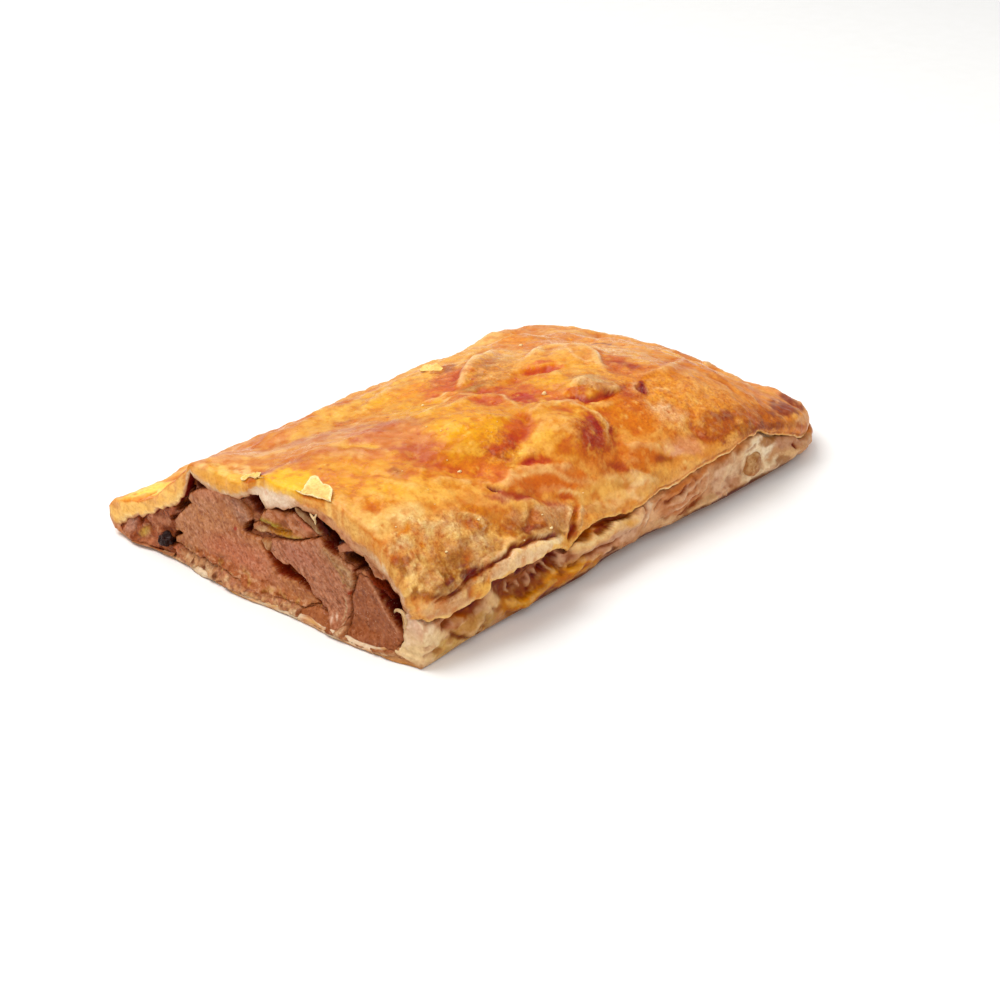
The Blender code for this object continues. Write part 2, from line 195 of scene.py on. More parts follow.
class Canvas:
    """A grid of surface points with a flat map of it, in millimetres, on which
    ridges, creases and patches are drawn at places given by picture points."""

    def __init__(self, points, x, q, normal, allowed):
        self.p, self.x, self.q, self.n = points, x, q, normal
        self.flat = np.stack([x, q], -1)
        self.drawn = self.flat + 0.9 * np.stack([fbm(points, 5.0, 3, 801), fbm(points, 5.0, 3, 807)], -1)
        self.pix = pixel(points)
        self.warp = self.pix + 5.0 * np.stack([fbm(points, 7.0, 4, 811, 0.6), fbm(points, 7.0, 4, 813, 0.6)], -1)
        self.frill = fbm(points, 2.6, 3, 815, 0.65)
        view = CAM - points
        view /= np.linalg.norm(view, axis=-1, keepdims=True)
        self.facing = (normal * view).sum(-1)
        self.seen = smooth(0.02, 0.2, self.facing) * allowed
        idx = np.flatnonzero((self.seen > 0.3).ravel())
        idx = idx[:: max(1, len(idx) // 30000)]
        px, self.marks = self.pix.reshape(-1, 2)[idx], self.flat.reshape(-1, 2)[idx]
        self.solid, self.out = self.p.reshape(-1, 3)[idx], self.n.reshape(-1, 3)[idx]
        self.tree = KDTree(len(idx))
        for k in range(len(idx)):
            self.tree.insert((px[k, 0], px[k, 1], 0.0), k)
        self.tree.balance()
        self.colour = None

    def spot(self, px, py):
        near = self.tree.find_n((px, py, 0.0), 4)
        w = np.array([1.0 / (d + 0.05) for _, _, d in near])
        pts = np.array([self.marks[k] for _, k, _ in near])
        return (pts * w[:, None]).sum(0) / w.sum()

    def lift(self, px, py, up=0.0):
        """The surface point that shows at a picture point, raised by some mm."""
        near = self.tree.find_n((px, py, 0.0), 4)
        w = np.array([1.0 / (d + 0.05) for _, _, d in near])
        w /= w.sum()
        k = [i for _, i, _ in near]
        return (self.solid[k] * w[:, None]).sum(0) + up * (self.out[k] * w[:, None]).sum(0)

    def signed(self, points):
        """Signed distance in mm to a line (positive above it in the picture, if
        it runs left to right) and the place along it from 0 to 1."""
        pts = np.array([self.spot(*p) for p in points])
        if len(pts) > 2:
            ends = np.vstack([2 * pts[0] - pts[1], pts, 2 * pts[-1] - pts[-2]])
            fine = []
            for a, b, c, d in zip(ends, ends[1:], ends[2:], ends[3:]):
                for f in (0.0, 0.34, 0.67):
                    fine.append(b + 0.5 * f * (c - a + f * (2 * a - 5 * b + 4 * c - d + f * (3 * (b - c) + d - a))))
            pts = np.array(fine + [pts[-1]])
        seg = np.sqrt(((pts[1:] - pts[:-1]) ** 2).sum(1)) + 1e-6
        total, done = seg.sum(), 0.0
        best = np.full(self.x.shape, 1e9)
        sign = np.ones(self.x.shape)
        where = np.zeros(self.x.shape)
        for k in range(len(pts) - 1):
            a, b = pts[k], pts[k + 1]
            ab = b - a
            rel = self.drawn - a
            t = clamp((rel @ ab) / (ab @ ab + 1e-9))
            d2 = ((rel - t[..., None] * ab) ** 2).sum(-1)
            cross = ab[0] * rel[..., 1] - ab[1] * rel[..., 0]
            closer = d2 < best
            best = np.where(closer, d2, best)
            sign = np.where(closer, np.where(cross >= 0.0, 1.0, -1.0), sign)
            where = np.where(closer, (done + t * seg[k]) / total, where)
            done += seg[k]
        return np.sqrt(best) * sign, where

    def ridge(self, points, up, down, taper=0.25):
        """Mask along a line that fades over "up" mm above it and "down" below."""
        d, t = self.signed(points)
        w = np.where(d >= 0.0, up, down)
        ends = smooth(0.0, taper, t) * smooth(1.0, 1.0 - taper, t) if taper else 1.0
        return np.exp(-(d / w) ** 2) * (0.12 + 0.88 * ends)

    def line(self, points, width, taper=0.2):
        return self.ridge(points, width, width, taper)

    def bump(self, px, py, rx, ry=None, turn=0.0, power=1.0):
        """Oval bump; rx, ry in mm along x and across, turned by degrees."""
        c = self.spot(px, py)
        ry = rx if ry is None else ry
        a = math.radians(turn)
        dx, dy = self.drawn[..., 0] - c[0], self.drawn[..., 1] - c[1]
        u = (dx * math.cos(a) + dy * math.sin(a)) / rx
        v = (-dx * math.sin(a) + dy * math.cos(a)) / ry
        return np.exp(-(u * u + v * v) ** power)

    def ring(self, px, py, r, width, squash=1.0):
        c = self.spot(px, py)
        d = np.sqrt((self.drawn[..., 0] - c[0]) ** 2 + ((self.drawn[..., 1] - c[1]) / squash) ** 2)
        return np.exp(-((d - r) / width) ** 2)

    def patch(self, cx, cy, rx, ry, turn=0.0, softness=1.4):
        """Patch drawn by its size in the picture, with a ragged edge."""
        m = blob(self.warp, cx, cy, rx, ry, turn, softness)
        return smooth(0.12, 0.88, m + 1.1 * self.frill * m * (1.0 - m)) * self.seen

    def coat(self, rgb, mask, strength=1.0):
        """Brushes a colour on."""
        m = clamp(mask * strength)[..., None]
        self.colour = self.colour * (1.0 - m) + np.asarray(rgb, float) * m


# ---------------------------------------------------------------------------
# Meshes
# ---------------------------------------------------------------------------
def mesh_object(name, verts, quads=None, tris=None):
    verts = np.asarray(verts, float).reshape(-1, 3)
    loops, starts = [], []
    at = 0
    for block, n in ((quads, 4), (tris, 3)):
        if block is not None and len(block):
            block = np.asarray(block, np.int64).reshape(-1, n)
            loops.append(block.reshape(-1))
            starts.append(at + np.arange(len(block)) * n)
            at += block.size
    mesh = bpy.data.meshes.new(name)
    mesh.vertices.add(len(verts))
    mesh.vertices.foreach_set("co", to_frame(verts).astype(np.float32).ravel())
    loops = np.concatenate(loops)
    starts = np.concatenate(starts)
    mesh.loops.add(len(loops))
    mesh.loops.foreach_set("vertex_index", loops.astype(np.int32))
    mesh.polygons.add(len(starts))
    mesh.polygons.foreach_set("loop_start", starts.astype(np.int32))
    mesh.update(calc_edges=True)
    mesh.shade_smooth()
    obj = bpy.data.objects.new(name, mesh)
    bpy.context.scene.collection.objects.link(obj)
    return obj


def grid_quads(rows, cols, flip=False, wrap=False, start=0):
    i, j = np.meshgrid(np.arange(rows - 1), np.arange(cols if wrap else cols - 1), indexing="ij")
    jn = (j + 1) % cols
    a, b, c, d = i * cols + j, (i + 1) * cols + j, (i + 1) * cols + jn, i * cols + jn
    q = np.stack([a, b, c, d], -1).reshape(-1, 4) + start
    return q[:, ::-1] if flip else q


def grid_normals(p, flip=False):
    du = np.gradient(p, axis=0)
    dv = np.gradient(p, axis=1)
    n = np.cross(du, dv)
    n /= np.linalg.norm(n, axis=-1, keepdims=True) + 1e-12
    return -n if flip else n


def paint(obj, name, values):
    """Stores a colour, or one number, for every point of a piece."""
    mesh = obj.data
    values = np.asarray(values, np.float32)
    if values.ndim > 1 and values.shape[-1] == 3:
        layer = mesh.attributes.new(name, "FLOAT_COLOR", "POINT")
        rgba = np.ones((len(mesh.vertices), 4), np.float32)
        rgba[:, :3] = values.reshape(-1, 3)
        layer.data.foreach_set("color", rgba.ravel())
    else:
        layer = mesh.attributes.new(name, "FLOAT", "POINT")
        layer.data.foreach_set("value", values.ravel())


# ---------------------------------------------------------------------------
# Materials: painted colour, broken up by fine noise
# ---------------------------------------------------------------------------
class Nodes:
    def __init__(self, name):
        self.mat = bpy.data.materials.new(name)
        self.mat.use_nodes = True
        self.tree = self.mat.node_tree
        self.shader = self.tree.nodes["Principled BSDF"]

    def add(self, kind, **values):
        node = self.tree.nodes.new(kind)
        for key, value in values.items():
            if key.startswith("in_"):
                node.inputs[key[3:].replace("_", " ")].default_value = value
            else:
                setattr(node, key, value)
        return node

    def link(self, a, b):
        self.tree.links.new(a, b)

    def attribute(self, name, colour=False):
        node = self.add("ShaderNodeAttribute", attribute_name=name)
        return node.outputs["Color"] if colour else node.outputs["Fac"]

    def coords(self):
        return self.add("ShaderNodeTexCoord").outputs["Object"]

    def noise(self, scale, detail=4.0, rough=0.6, distortion=0.0, stretch=None):
        node = self.add("ShaderNodeTexNoise", in_Scale=scale, in_Detail=detail,
                        in_Roughness=rough, in_Distortion=distortion)
        source = self.coords()
        if stretch is not None:
            mapping = self.add("ShaderNodeMapping")
            mapping.inputs["Scale"].default_value = stretch
            self.link(source, mapping.inputs["Vector"])
            source = mapping.outputs["Vector"]
        self.link(source, node.inputs["Vector"])
        return node.outputs["Fac"]

    def cells(self, scale, feature="F1", randomness=1.0):
        node = self.add("ShaderNodeTexVoronoi", feature=feature)
        node.inputs["Scale"].default_value = scale
        node.inputs["Randomness"].default_value = randomness
        self.link(self.coords(), node.inputs["Vector"])
        return node.outputs["Distance"]

    def grains(self, scale):
        node = self.add("ShaderNodeTexVoronoi", feature="F1")
        node.inputs["Scale"].default_value = scale
        self.link(self.coords(), node.inputs["Vector"])
        split = self.add("ShaderNodeSeparateColor")
        self.link(node.outputs["Color"], split.inputs["Color"])
        return split.outputs["Red"]

    def remap(self, value, lo, hi, to_lo, to_hi):
        node = self.add("ShaderNodeMapRange")
        for key, v in (("From Min", lo), ("From Max", hi), ("To Min", to_lo), ("To Max", to_hi)):
            node.inputs[key].default_value = v
        self.link(value, node.inputs["Value"])
        return node.outputs["Result"]

    def math(self, op, a, b):
        node = self.add("ShaderNodeMath", operation=op)
        for i, v in enumerate((a, b)):
            if isinstance(v, (int, float)):
                node.inputs[i].default_value = v
            else:
                self.link(v, node.inputs[i])
        return node.outputs["Value"]

    def mix(self, factor, a, b, blend="MIX"):
        node = self.add("ShaderNodeMix", data_type="RGBA", blend_type=blend)
        sockets = {"Factor": [s for s in node.inputs if s.name == "Factor" and s.type == "VALUE"][0],
                   "A": [s for s in node.inputs if s.name == "A" and s.type == "RGBA"][0],
                   "B": [s for s in node.inputs if s.name == "B" and s.type == "RGBA"][0]}
        for key, v in (("Factor", factor), ("A", a), ("B", b)):
            if isinstance(v, (int, float, tuple)):
                sockets[key].default_value = v
            else:
                self.link(v, sockets[key])
        return [s for s in node.outputs if s.type == "RGBA"][0]

    def bump(self, height, strength, distance, below=None):
        node = self.add("ShaderNodeBump", in_Distance=distance)
        if isinstance(strength, (int, float)):
            node.inputs["Strength"].default_value = strength
        else:
            self.link(strength, node.inputs["Strength"])
        self.link(height, node.inputs["Height"])
        if below is not None:
            self.link(below, node.inputs["Normal"])
        return node.outputs["Normal"]


def rgb(r, g, b):
    return (*[float(v) for v in to_linear((r, g, b))], 1.0)


def food_material(name, dark=(0.80, 0.66, 0.52), light=(1.10, 1.12, 1.14), speck=900.0, mottle=330.0,
                  rough=(0.30, 0.62), bump=0.35, depth=0.0006, subsurface=0.0, radius=(0.004, 0.0018, 0.0008),
                  coat=0.0, coat_rough=0.25, specular=0.35):
    """Painted food: colour from the piece's own paint, broken up at two scales,
    with a fine bump.  The painted values gloss and grit steer both."""
    n = Nodes(name)
    tint = n.attribute("tint", True)
    grit, gloss = n.attribute("grit"), n.attribute("gloss")
    big, fine = n.noise(mottle, 3.0, 0.6), n.grains(speck)
    both = n.math("ADD", n.math("MULTIPLY", big, 0.85), n.math("MULTIPLY", fine, 0.15))
    spread = n.math("MULTIPLY", n.math("SUBTRACT", both, 0.5), n.remap(grit, 0.0, 1.0, 1.1, 3.0))
    shade = n.mix(n.math("ADD", spread, 0.62), (*dark, 1.0), (*light, 1.0))
    n.link(n.mix(1.0, tint, shade, "MULTIPLY"), n.shader.inputs["Base Color"])
    roughness = n.math("ADD", n.remap(gloss, 0.0, 1.0, rough[1], rough[0]),
                       n.math("MULTIPLY", n.math("SUBTRACT", big, 0.5), 0.3))
    n.link(roughness, n.shader.inputs["Roughness"])
    height = n.math("ADD", big, n.math("MULTIPLY", n.noise(speck * 0.7, 1.0, 0.5), 0.35))
    n.link(n.bump(height, n.remap(grit, 0.0, 1.0, bump * 0.35, bump), depth), n.shader.inputs["Normal"])
    n.shader.inputs["Specular IOR Level"].default_value = specular
    n.shader.inputs["IOR"].default_value = 1.42
    if subsurface:
        n.shader.inputs["Subsurface Weight"].default_value = subsurface
        n.shader.inputs["Subsurface Radius"].default_value = radius
        n.shader.inputs["Subsurface Scale"].default_value = 1.0
    if coat:
        n.shader.inputs["Coat Weight"].default_value = coat
        n.shader.inputs["Coat Roughness"].default_value = coat_rough
    return n.mat


def crust_material():
    """Baked crust: the painted colour with darker baked mottling, pale floury
    specks and small pores, under a thin uneven glaze."""
    n = Nodes("baked_crust")
    tint, grit, gloss = n.attribute("tint", True), n.attribute("grit"), n.attribute("gloss")
    mottle, freckle = n.noise(330.0, 3.0, 0.55), n.noise(1000.0, 2.0, 0.5)
    grain = n.grains(1500.0)
    amount = n.remap(grit, 0.0, 1.0, 0.10, 1.0)
    times = lambda col, k: n.mix(1.0, col, (*k, 1.0), "MULTIPLY")
    some = lambda value: n.math("MULTIPLY", value, amount)
    c = n.mix(some(n.remap(mottle, 0.52, 0.60, 0.0, 0.7)), tint, times(tint, (0.80, 0.60, 0.42)))
    c = n.mix(some(n.remap(mottle, 0.47, 0.40, 0.0, 0.7)), c, times(tint, (1.10, 1.14, 1.20)))
    c = n.mix(some(n.remap(freckle, 0.55, 0.60, 0.0, 0.85)), c, times(c, (0.74, 0.52, 0.36)))
    c = n.mix(some(n.remap(freckle, 0.44, 0.39, 0.0, 0.85)), c, times(c, (1.14, 1.28, 1.55)))
    c = n.mix(some(n.remap(grit, 0.0, 1.0, 0.6, 1.0)), c, n.mix(grain, times(c, (0.84, 0.74, 0.64)), times(c, (1.12, 1.20, 1.32))))
    floury = n.remap(grit, 0.45, 0.95, 0.0, 1.0)
    dust = n.math("MULTIPLY", n.remap(n.noise(420.0, 3.0, 0.6), 0.50, 0.64, 0.0, 0.5), floury)
    c = n.mix(dust, c, (0.80, 0.58, 0.34, 1.0))
    spots = n.cells(640.0)
    pick = n.remap(n.noise(130.0, 3.0, 0.7), 0.50, 0.60, 0.0, 1.0)
    c = n.mix(some(n.math("MULTIPLY", n.remap(spots, 0.30, 0.16, 0.0, 0.5), pick)), c, times(c, (1.3, 1.5, 1.9)))
    pores = n.cells(900.0)
    c = n.mix(some(n.remap(pores, 0.24, 0.16, 0.0, 0.6)), c, times(tint, (0.55, 0.30, 0.15)))
    n.link(c, n.shader.inputs["Base Color"])
    rough = n.math("ADD", n.remap(gloss, 0.0, 1.0, 0.56, 0.27), n.math("MULTIPLY", n.math("SUBTRACT", mottle, 0.5), 0.3))
    n.link(n.math("ADD", rough, n.math("MULTIPLY", dust, 0.2)), n.shader.inputs["Roughness"])
    soft = n.noise(260.0, 1.5, 0.5)
    height = n.math("ADD", n.math("MULTIPLY", soft, 1.0), n.math("MULTIPLY", freckle, n.remap(grit, 0.1, 0.9, 0.0, 0.45)))
    height = n.math("ADD", height, n.math("MULTIPLY", n.remap(spots, 0.0, 0.5, 1.0, 0.0), n.math("MULTIPLY", pick, 0.35)))
    n.link(n.bump(height, n.remap(grit, 0.0, 1.0, 0.30, 0.8), 0.0011), n.shader.inputs["Normal"])
    n.shader.inputs["Specular IOR Level"].default_value = 0.27
    n.shader.inputs["IOR"].default_value = 1.45
    n.shader.inputs["Subsurface Weight"].default_value = 0.05
    n.shader.inputs["Subsurface Radius"].default_value = (0.004, 0.0016, 0.0006)
    n.shader.inputs["Subsurface Scale"].default_value = 1.0
    return n.mat


def dress(obj, tint, gloss, grit, material, node=None, gain=1.1, haze=0.03):
    """Paints a piece.  The paint is mixed as it should look in the studio light,
    so what the light and the gloss add is taken off it first."""
    albedo = (to_linear(np.asarray(tint, float).reshape(-1, 3)) - haze) / gain
    paint(obj, "tint", np.clip(albedo, (0.008, 0.003, 0.001), 0.95))
    paint(obj, "gloss", gloss)
    paint(obj, "grit", grit)
    obj.data.materials.append(material)
    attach(obj, "root")
    if node:
        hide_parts(*node)


# ---------------------------------------------------------------------------
# The strudel's shape, the same functions that the CAD model is built from
# ---------------------------------------------------------------------------
HUMPS = (
    (70.0, 47.0, 15.0, 13.0, 2.6), (92.0, 19.0, 12.0, 14.0, 2.4), (112.0, 82.0, 12.0, 10.0, 2.2),
    (140.0, 62.0, 12.0, 12.0, 2.2), (125.0, 38.0, 9.0, 8.0, 1.8), (155.0, 30.0, 16.0, 14.0, 1.6),
    (30.0, 78.0, 18.0, 12.0, 1.2), (18.0, 20.0, 14.0, 12.0, 1.4), (50.0, 6.0, 10.0, 9.0, 1.8),
    (80.0, 72.0, 12.0, 7.0, -2.0), (52.0, 24.0, 14.0, 7.0, -1.8), (110.0, 60.0, 12.0, 8.0, -1.6),
    (112.0, 14.0, 8.0, 10.0, -1.4), (165.0, 70.0, 14.0, 16.0, -1.2), (8.0, 122.0, 18.0, 13.0, -5.4),
)


def crest(x):
    return along(x, (0, CREST), (118, CREST - 1.0), (150, 42.0), (176, 35.5), (192, 28.0),
                 (206, 22.0), (LENGTH, 17.5))


def ledge_height(x):
    return along(x, (0, 16.5), (14, 18.0), (29, 22.0), (55, 22.0), (66, 16.0), (98, 16.0),
                 (108, 18.8), (132, 20.3), (150, 20.8), (167, 22.0), (177, 16.5), (198, 14.0),
                 (LENGTH, 9.0))


def foot(x):
    return along(x, (0, 0.0), (24, 2.4), (72, 2.6), (92, 5.6), (108, 6.0), (126, 4.0),
                 (150, 2.4), (186, 2.4), (200, 4.0))


def plan(x):
    inset = []
    for radius in (30.0, 17.0):
        q = clamp((x - (LENGTH - radius)) / radius, 0.0, 0.97)
        inset.append(radius * (1.0 - np.sqrt(1.0 - q * q)))
    wave = 0.9 * np.sin(x / 17.0) * smooth(4, 20, x) - 3.2 * np.exp(-((x - 15.0) / 11.0) ** 2)
    return inset[0], WIDTH + wave - inset[1]


def humps(x, y):
    total = 0.0
    for cx, cy, rx, ry, h in HUMPS:
        total = total + h * np.exp(-((x - cx) / rx) ** 2 - ((y - cy) / ry) ** 2)
    return total


def top_height(x, v):
    top = crest(x)
    wall = np.minimum(ledge_height(x) + 6.0, top - 4.0)
    ratio = top / CREST
    far = top - 5.5 * ratio
    u = clamp((v + 0.4) / 42.0)
    near_z = wall + (top - wall) * (1.0 - (1.0 - u) ** 2.5) - 5.5 * ratio * (
        smooth(64.0, 80.0, v) + (smooth(56.0, 94.0, v) - smooth(64.0, 80.0, v)) * smooth(6.0, 44.0, x))
    edge = 12.5 * (0.45 + 0.55 * ratio)
    t = clamp((WIDTH - v) / (WIDTH - 101.6))
    far_z = edge + (far - edge) * t ** 1.4
    z = np.where(v < 101.6, near_z, far_z)
    end = smooth(168.0, 208.0, x)
    z = z - 4.5 * end * smooth(74.0, 12.0, v) * smooth(-6.0, 12.0, v)
    z = z + 1.6 * end * smooth(66.0, 112.0, v)
    z = z + 0.9 * smooth(84.0, 104.0, x) * smooth(96.0, 116.0, v)
    # the bend down to the far slope is soft, but for the fold beside the cut
    z = z - 1.1 * np.exp(-((v - 101.6) / 4.5) ** 2) * smooth(6.0, 30.0, x)
    inside = smooth(0.0, 14.0, v) * smooth(WIDTH, 132.0, v)
    return z + humps(x, v) * inside * smooth(0.0, 12.0, x + 8.0) * ratio


def bottom_height(v):
    return 2.6 * smooth(118.0, WIDTH, v)


def finish_point(x, v, z):
    """Section to space: rounds the closed end and skews the cut."""
    ya, yb = plan(x)
    t = clamp((x - (LENGTH - 16.0)) / 16.6)
    k = np.sqrt(1.0 - t * t)
    y = ya + v * (yb - ya) / WIDTH
    z = 6.0 + (z - 6.0) * k
    return np.stack([x - SKEW * y * (1.0 - clamp(x / LENGTH)), y, z], -1)


# Lower edge of the crust on the near side: its height, how far it stands out,
# and how far the skin turns in under it.
def lip_out(x):
    return along(x, (0, 2.0), (18, 3.6), (25, 5.2), (33, 6.4), (56, 6.0), (62, 3.8), (67, 1.2), (74, 1.4),
                 (96, 1.6), (106, 2.4), (160, 2.4), (172, 2.8), (180, 1.2), (200, 0.8))


LIP_EDGE = (
    (417, 618.5), (423, 621.5), (433, 621), (440, 619), (446.4, 616), (455, 611), (463, 606), (473, 599.8), (481, 596.8), (486.2, 594.5),
    (489.3, 588), (491.6, 578.6), (497, 577.8), (502.8, 577), (508, 574.6), (512.8, 571.3), (518.6, 565.5), (524, 564.4), (529.4, 563),
    (535, 560.5), (541, 556.3), (545, 552), (549.3, 549), (556, 547.4), (562.5, 547), (567, 549), (570, 545), (574, 538), (583, 529),
    (591, 523), (599, 519.6), (607, 517), (620, 513.5), (632, 510), (644, 503), (649, 498), (655, 494.6), (660, 491), (668, 488.6),
    (675, 485.6), (680, 482.6), (685, 478), (691, 473), (696, 468.8), (704, 464.6), (711, 460), (720, 456.4), (727, 452), (732, 448.6),
    (736, 444), (741, 440.6), (747, 437), (753, 433.6), (759, 430.5), (763, 431.6), (766.7, 433.6), (773, 435), (780, 434), (790, 432),
    (798, 428), (803, 423),
)


def lip_height(x):
    """Height of the crust's lower edge, so that it shows along the traced line."""
    x = np.asarray(x, float)
    plain = along(x, (-1, 17.4), (6, 17.0), (13, 18.2), (60, 21.0), (107, 18.4), (132, 20.4), (150, 20.8), (168, 22.8),
                  (176, 16.2), (190, 11.0), (206, 8.0), (LENGTH, 6.6))
    tx, ty = np.array(LIP_EDGE, float).T
    z = np.linspace(4.0, 30.0, 105)
    flat = x.reshape(-1)
    pix = pixel(finish_point(flat[:, None] + 0.0 * z, 0.0 * z - lip_out(flat)[:, None], z + 0.0 * flat[:, None]))
    err = np.interp(pix[..., 0], tx, ty) - pix[..., 1]
    found = np.array([np.interp(0.0, row, z) for row in err])
    use = smooth(196.0, 186.0, flat)
    return (found * use + plain.reshape(-1) * (1.0 - use)).reshape(x.shape)


def lip_turn(x):
    return along(x, (0, 2.2), (20, 4.0), (27, 5.2), (58, 5.2), (66, 2.6), (98, 3.6), (108, 3.0), (170, 2.8), (180, 0.6))


def apron(y):
    """How far the foot of the cut stands out, in mm."""
    return np.interp(y, [2, 9, 20, 39, 53, 63, 75, 88, 104, 112, 118, 127, 136, 141, 146],
                     [0, 1.7, 3.2, 3.8, 2.6, 3.0, 4.3, 3.5, 1.4, 0.2, 0.4, 1.8, 2.2, 0.6, 0.0])


def row_positions(first=0.34, step=0.72, end=LENGTH):
    xs, x, s = [0.0], 0.0, first
    while x < end - 16.0:
        x += s
        s = min(step, s * 1.05)
        xs.append(x)
    xs = np.array(xs) * (end - 16.0) / xs[-1]
    tail = end - 16.0 + 16.6 * np.sin(np.radians(np.linspace(0.0, 90.0, 28)[1:]))
    return np.concatenate([xs, tail])


N_TURN, N_NEAR, N_TOP, N_FAR, N_TIP, N_UNDER = 7, 36, 146, 42, 12, 10


def crust_base(x):
    """Smooth outer skin of the crust, from under its near lip, over the top and
    round the wing to its underside.  Also gives v, the place across."""
    x = np.asarray(x, float)[:, None]
    zc, out, turn = lip_height(x), lip_out(x), lip_turn(x)
    join_v = 3.0
    zj = top_height(x, np.full_like(x, join_v))
    slope = (top_height(x, np.full_like(x, join_v + 1.0)) - zj)
    parts_v, parts_z = [], []
    t = np.linspace(0.0, 1.0, N_TURN, endpoint=False)[None, :]
    parts_v.append(-out + 0.5 + turn * (1.0 - t) ** 1.1)
    parts_z.append(zc - 0.55 + 1.5 * (1.0 - t) ** 2 + 0.0 * x)
    t = np.linspace(0.0, 1.0, N_NEAR, endpoint=False)[None, :]
    reach = 0.42 * (zj - zc)
    parts_v.append(bezier(-out, -out - 0.9, join_v - reach / np.maximum(slope, 0.6), join_v, t))
    parts_z.append(bezier(zc - 0.3, zc + 0.30 * (zj - zc), zj - reach, zj, t))
    t = np.linspace(0.0, 1.0, N_TOP, endpoint=False)[None, :]
    v = join_v + (100.0 - join_v) * t
    parts_v.append(v + 0.0 * x)
    parts_z.append(top_height(x + 0.0 * v, v + 0.0 * x))
    t = np.linspace(0.0, 1.0, N_FAR, endpoint=False)[None, :]
    v_end = WIDTH - 5.0
    v = 100.0 + (v_end - 100.0) * t
    parts_v.append(v + 0.0 * x)
    parts_z.append(top_height(x + 0.0 * v, v + 0.0 * x))
    edge = top_height(x, np.full_like(x, v_end))
    near_cut = 0.12 + 0.88 * smooth(2.0, 20.0, x)
    low = bottom_height(WIDTH) * near_cut
    a = np.radians(np.linspace(66.0, -90.0, N_TIP, endpoint=False))[None, :]
    r = 0.5 * (edge - low - 0.6)
    parts_v.append(WIDTH - 5.0 + 5.2 * np.maximum(0.0, np.cos(a)) + 0.0 * x)
    parts_z.append(low + r + r * np.sin(a) + 0.3)
    t = np.linspace(0.0, 1.0, N_UNDER)[None, :]
    v = WIDTH - 5.0 - (WIDTH - 5.0 - 112.0) * t
    parts_v.append(v + 0.0 * x)
    parts_z.append(bottom_height(v) * near_cut + 0.25 * smooth(126.0, 114.0, v) + 0.0 * x)
    v = np.concatenate(parts_v, 1)
    z = np.concatenate(parts_z, 1)
    return finish_point(x + 0.0 * v, v, z), v


J_TOP = N_TURN + N_NEAR
J_FAR = J_TOP + N_TOP
J_TIP = J_FAR + N_FAR
J_UNDER = J_TIP + N_TIP


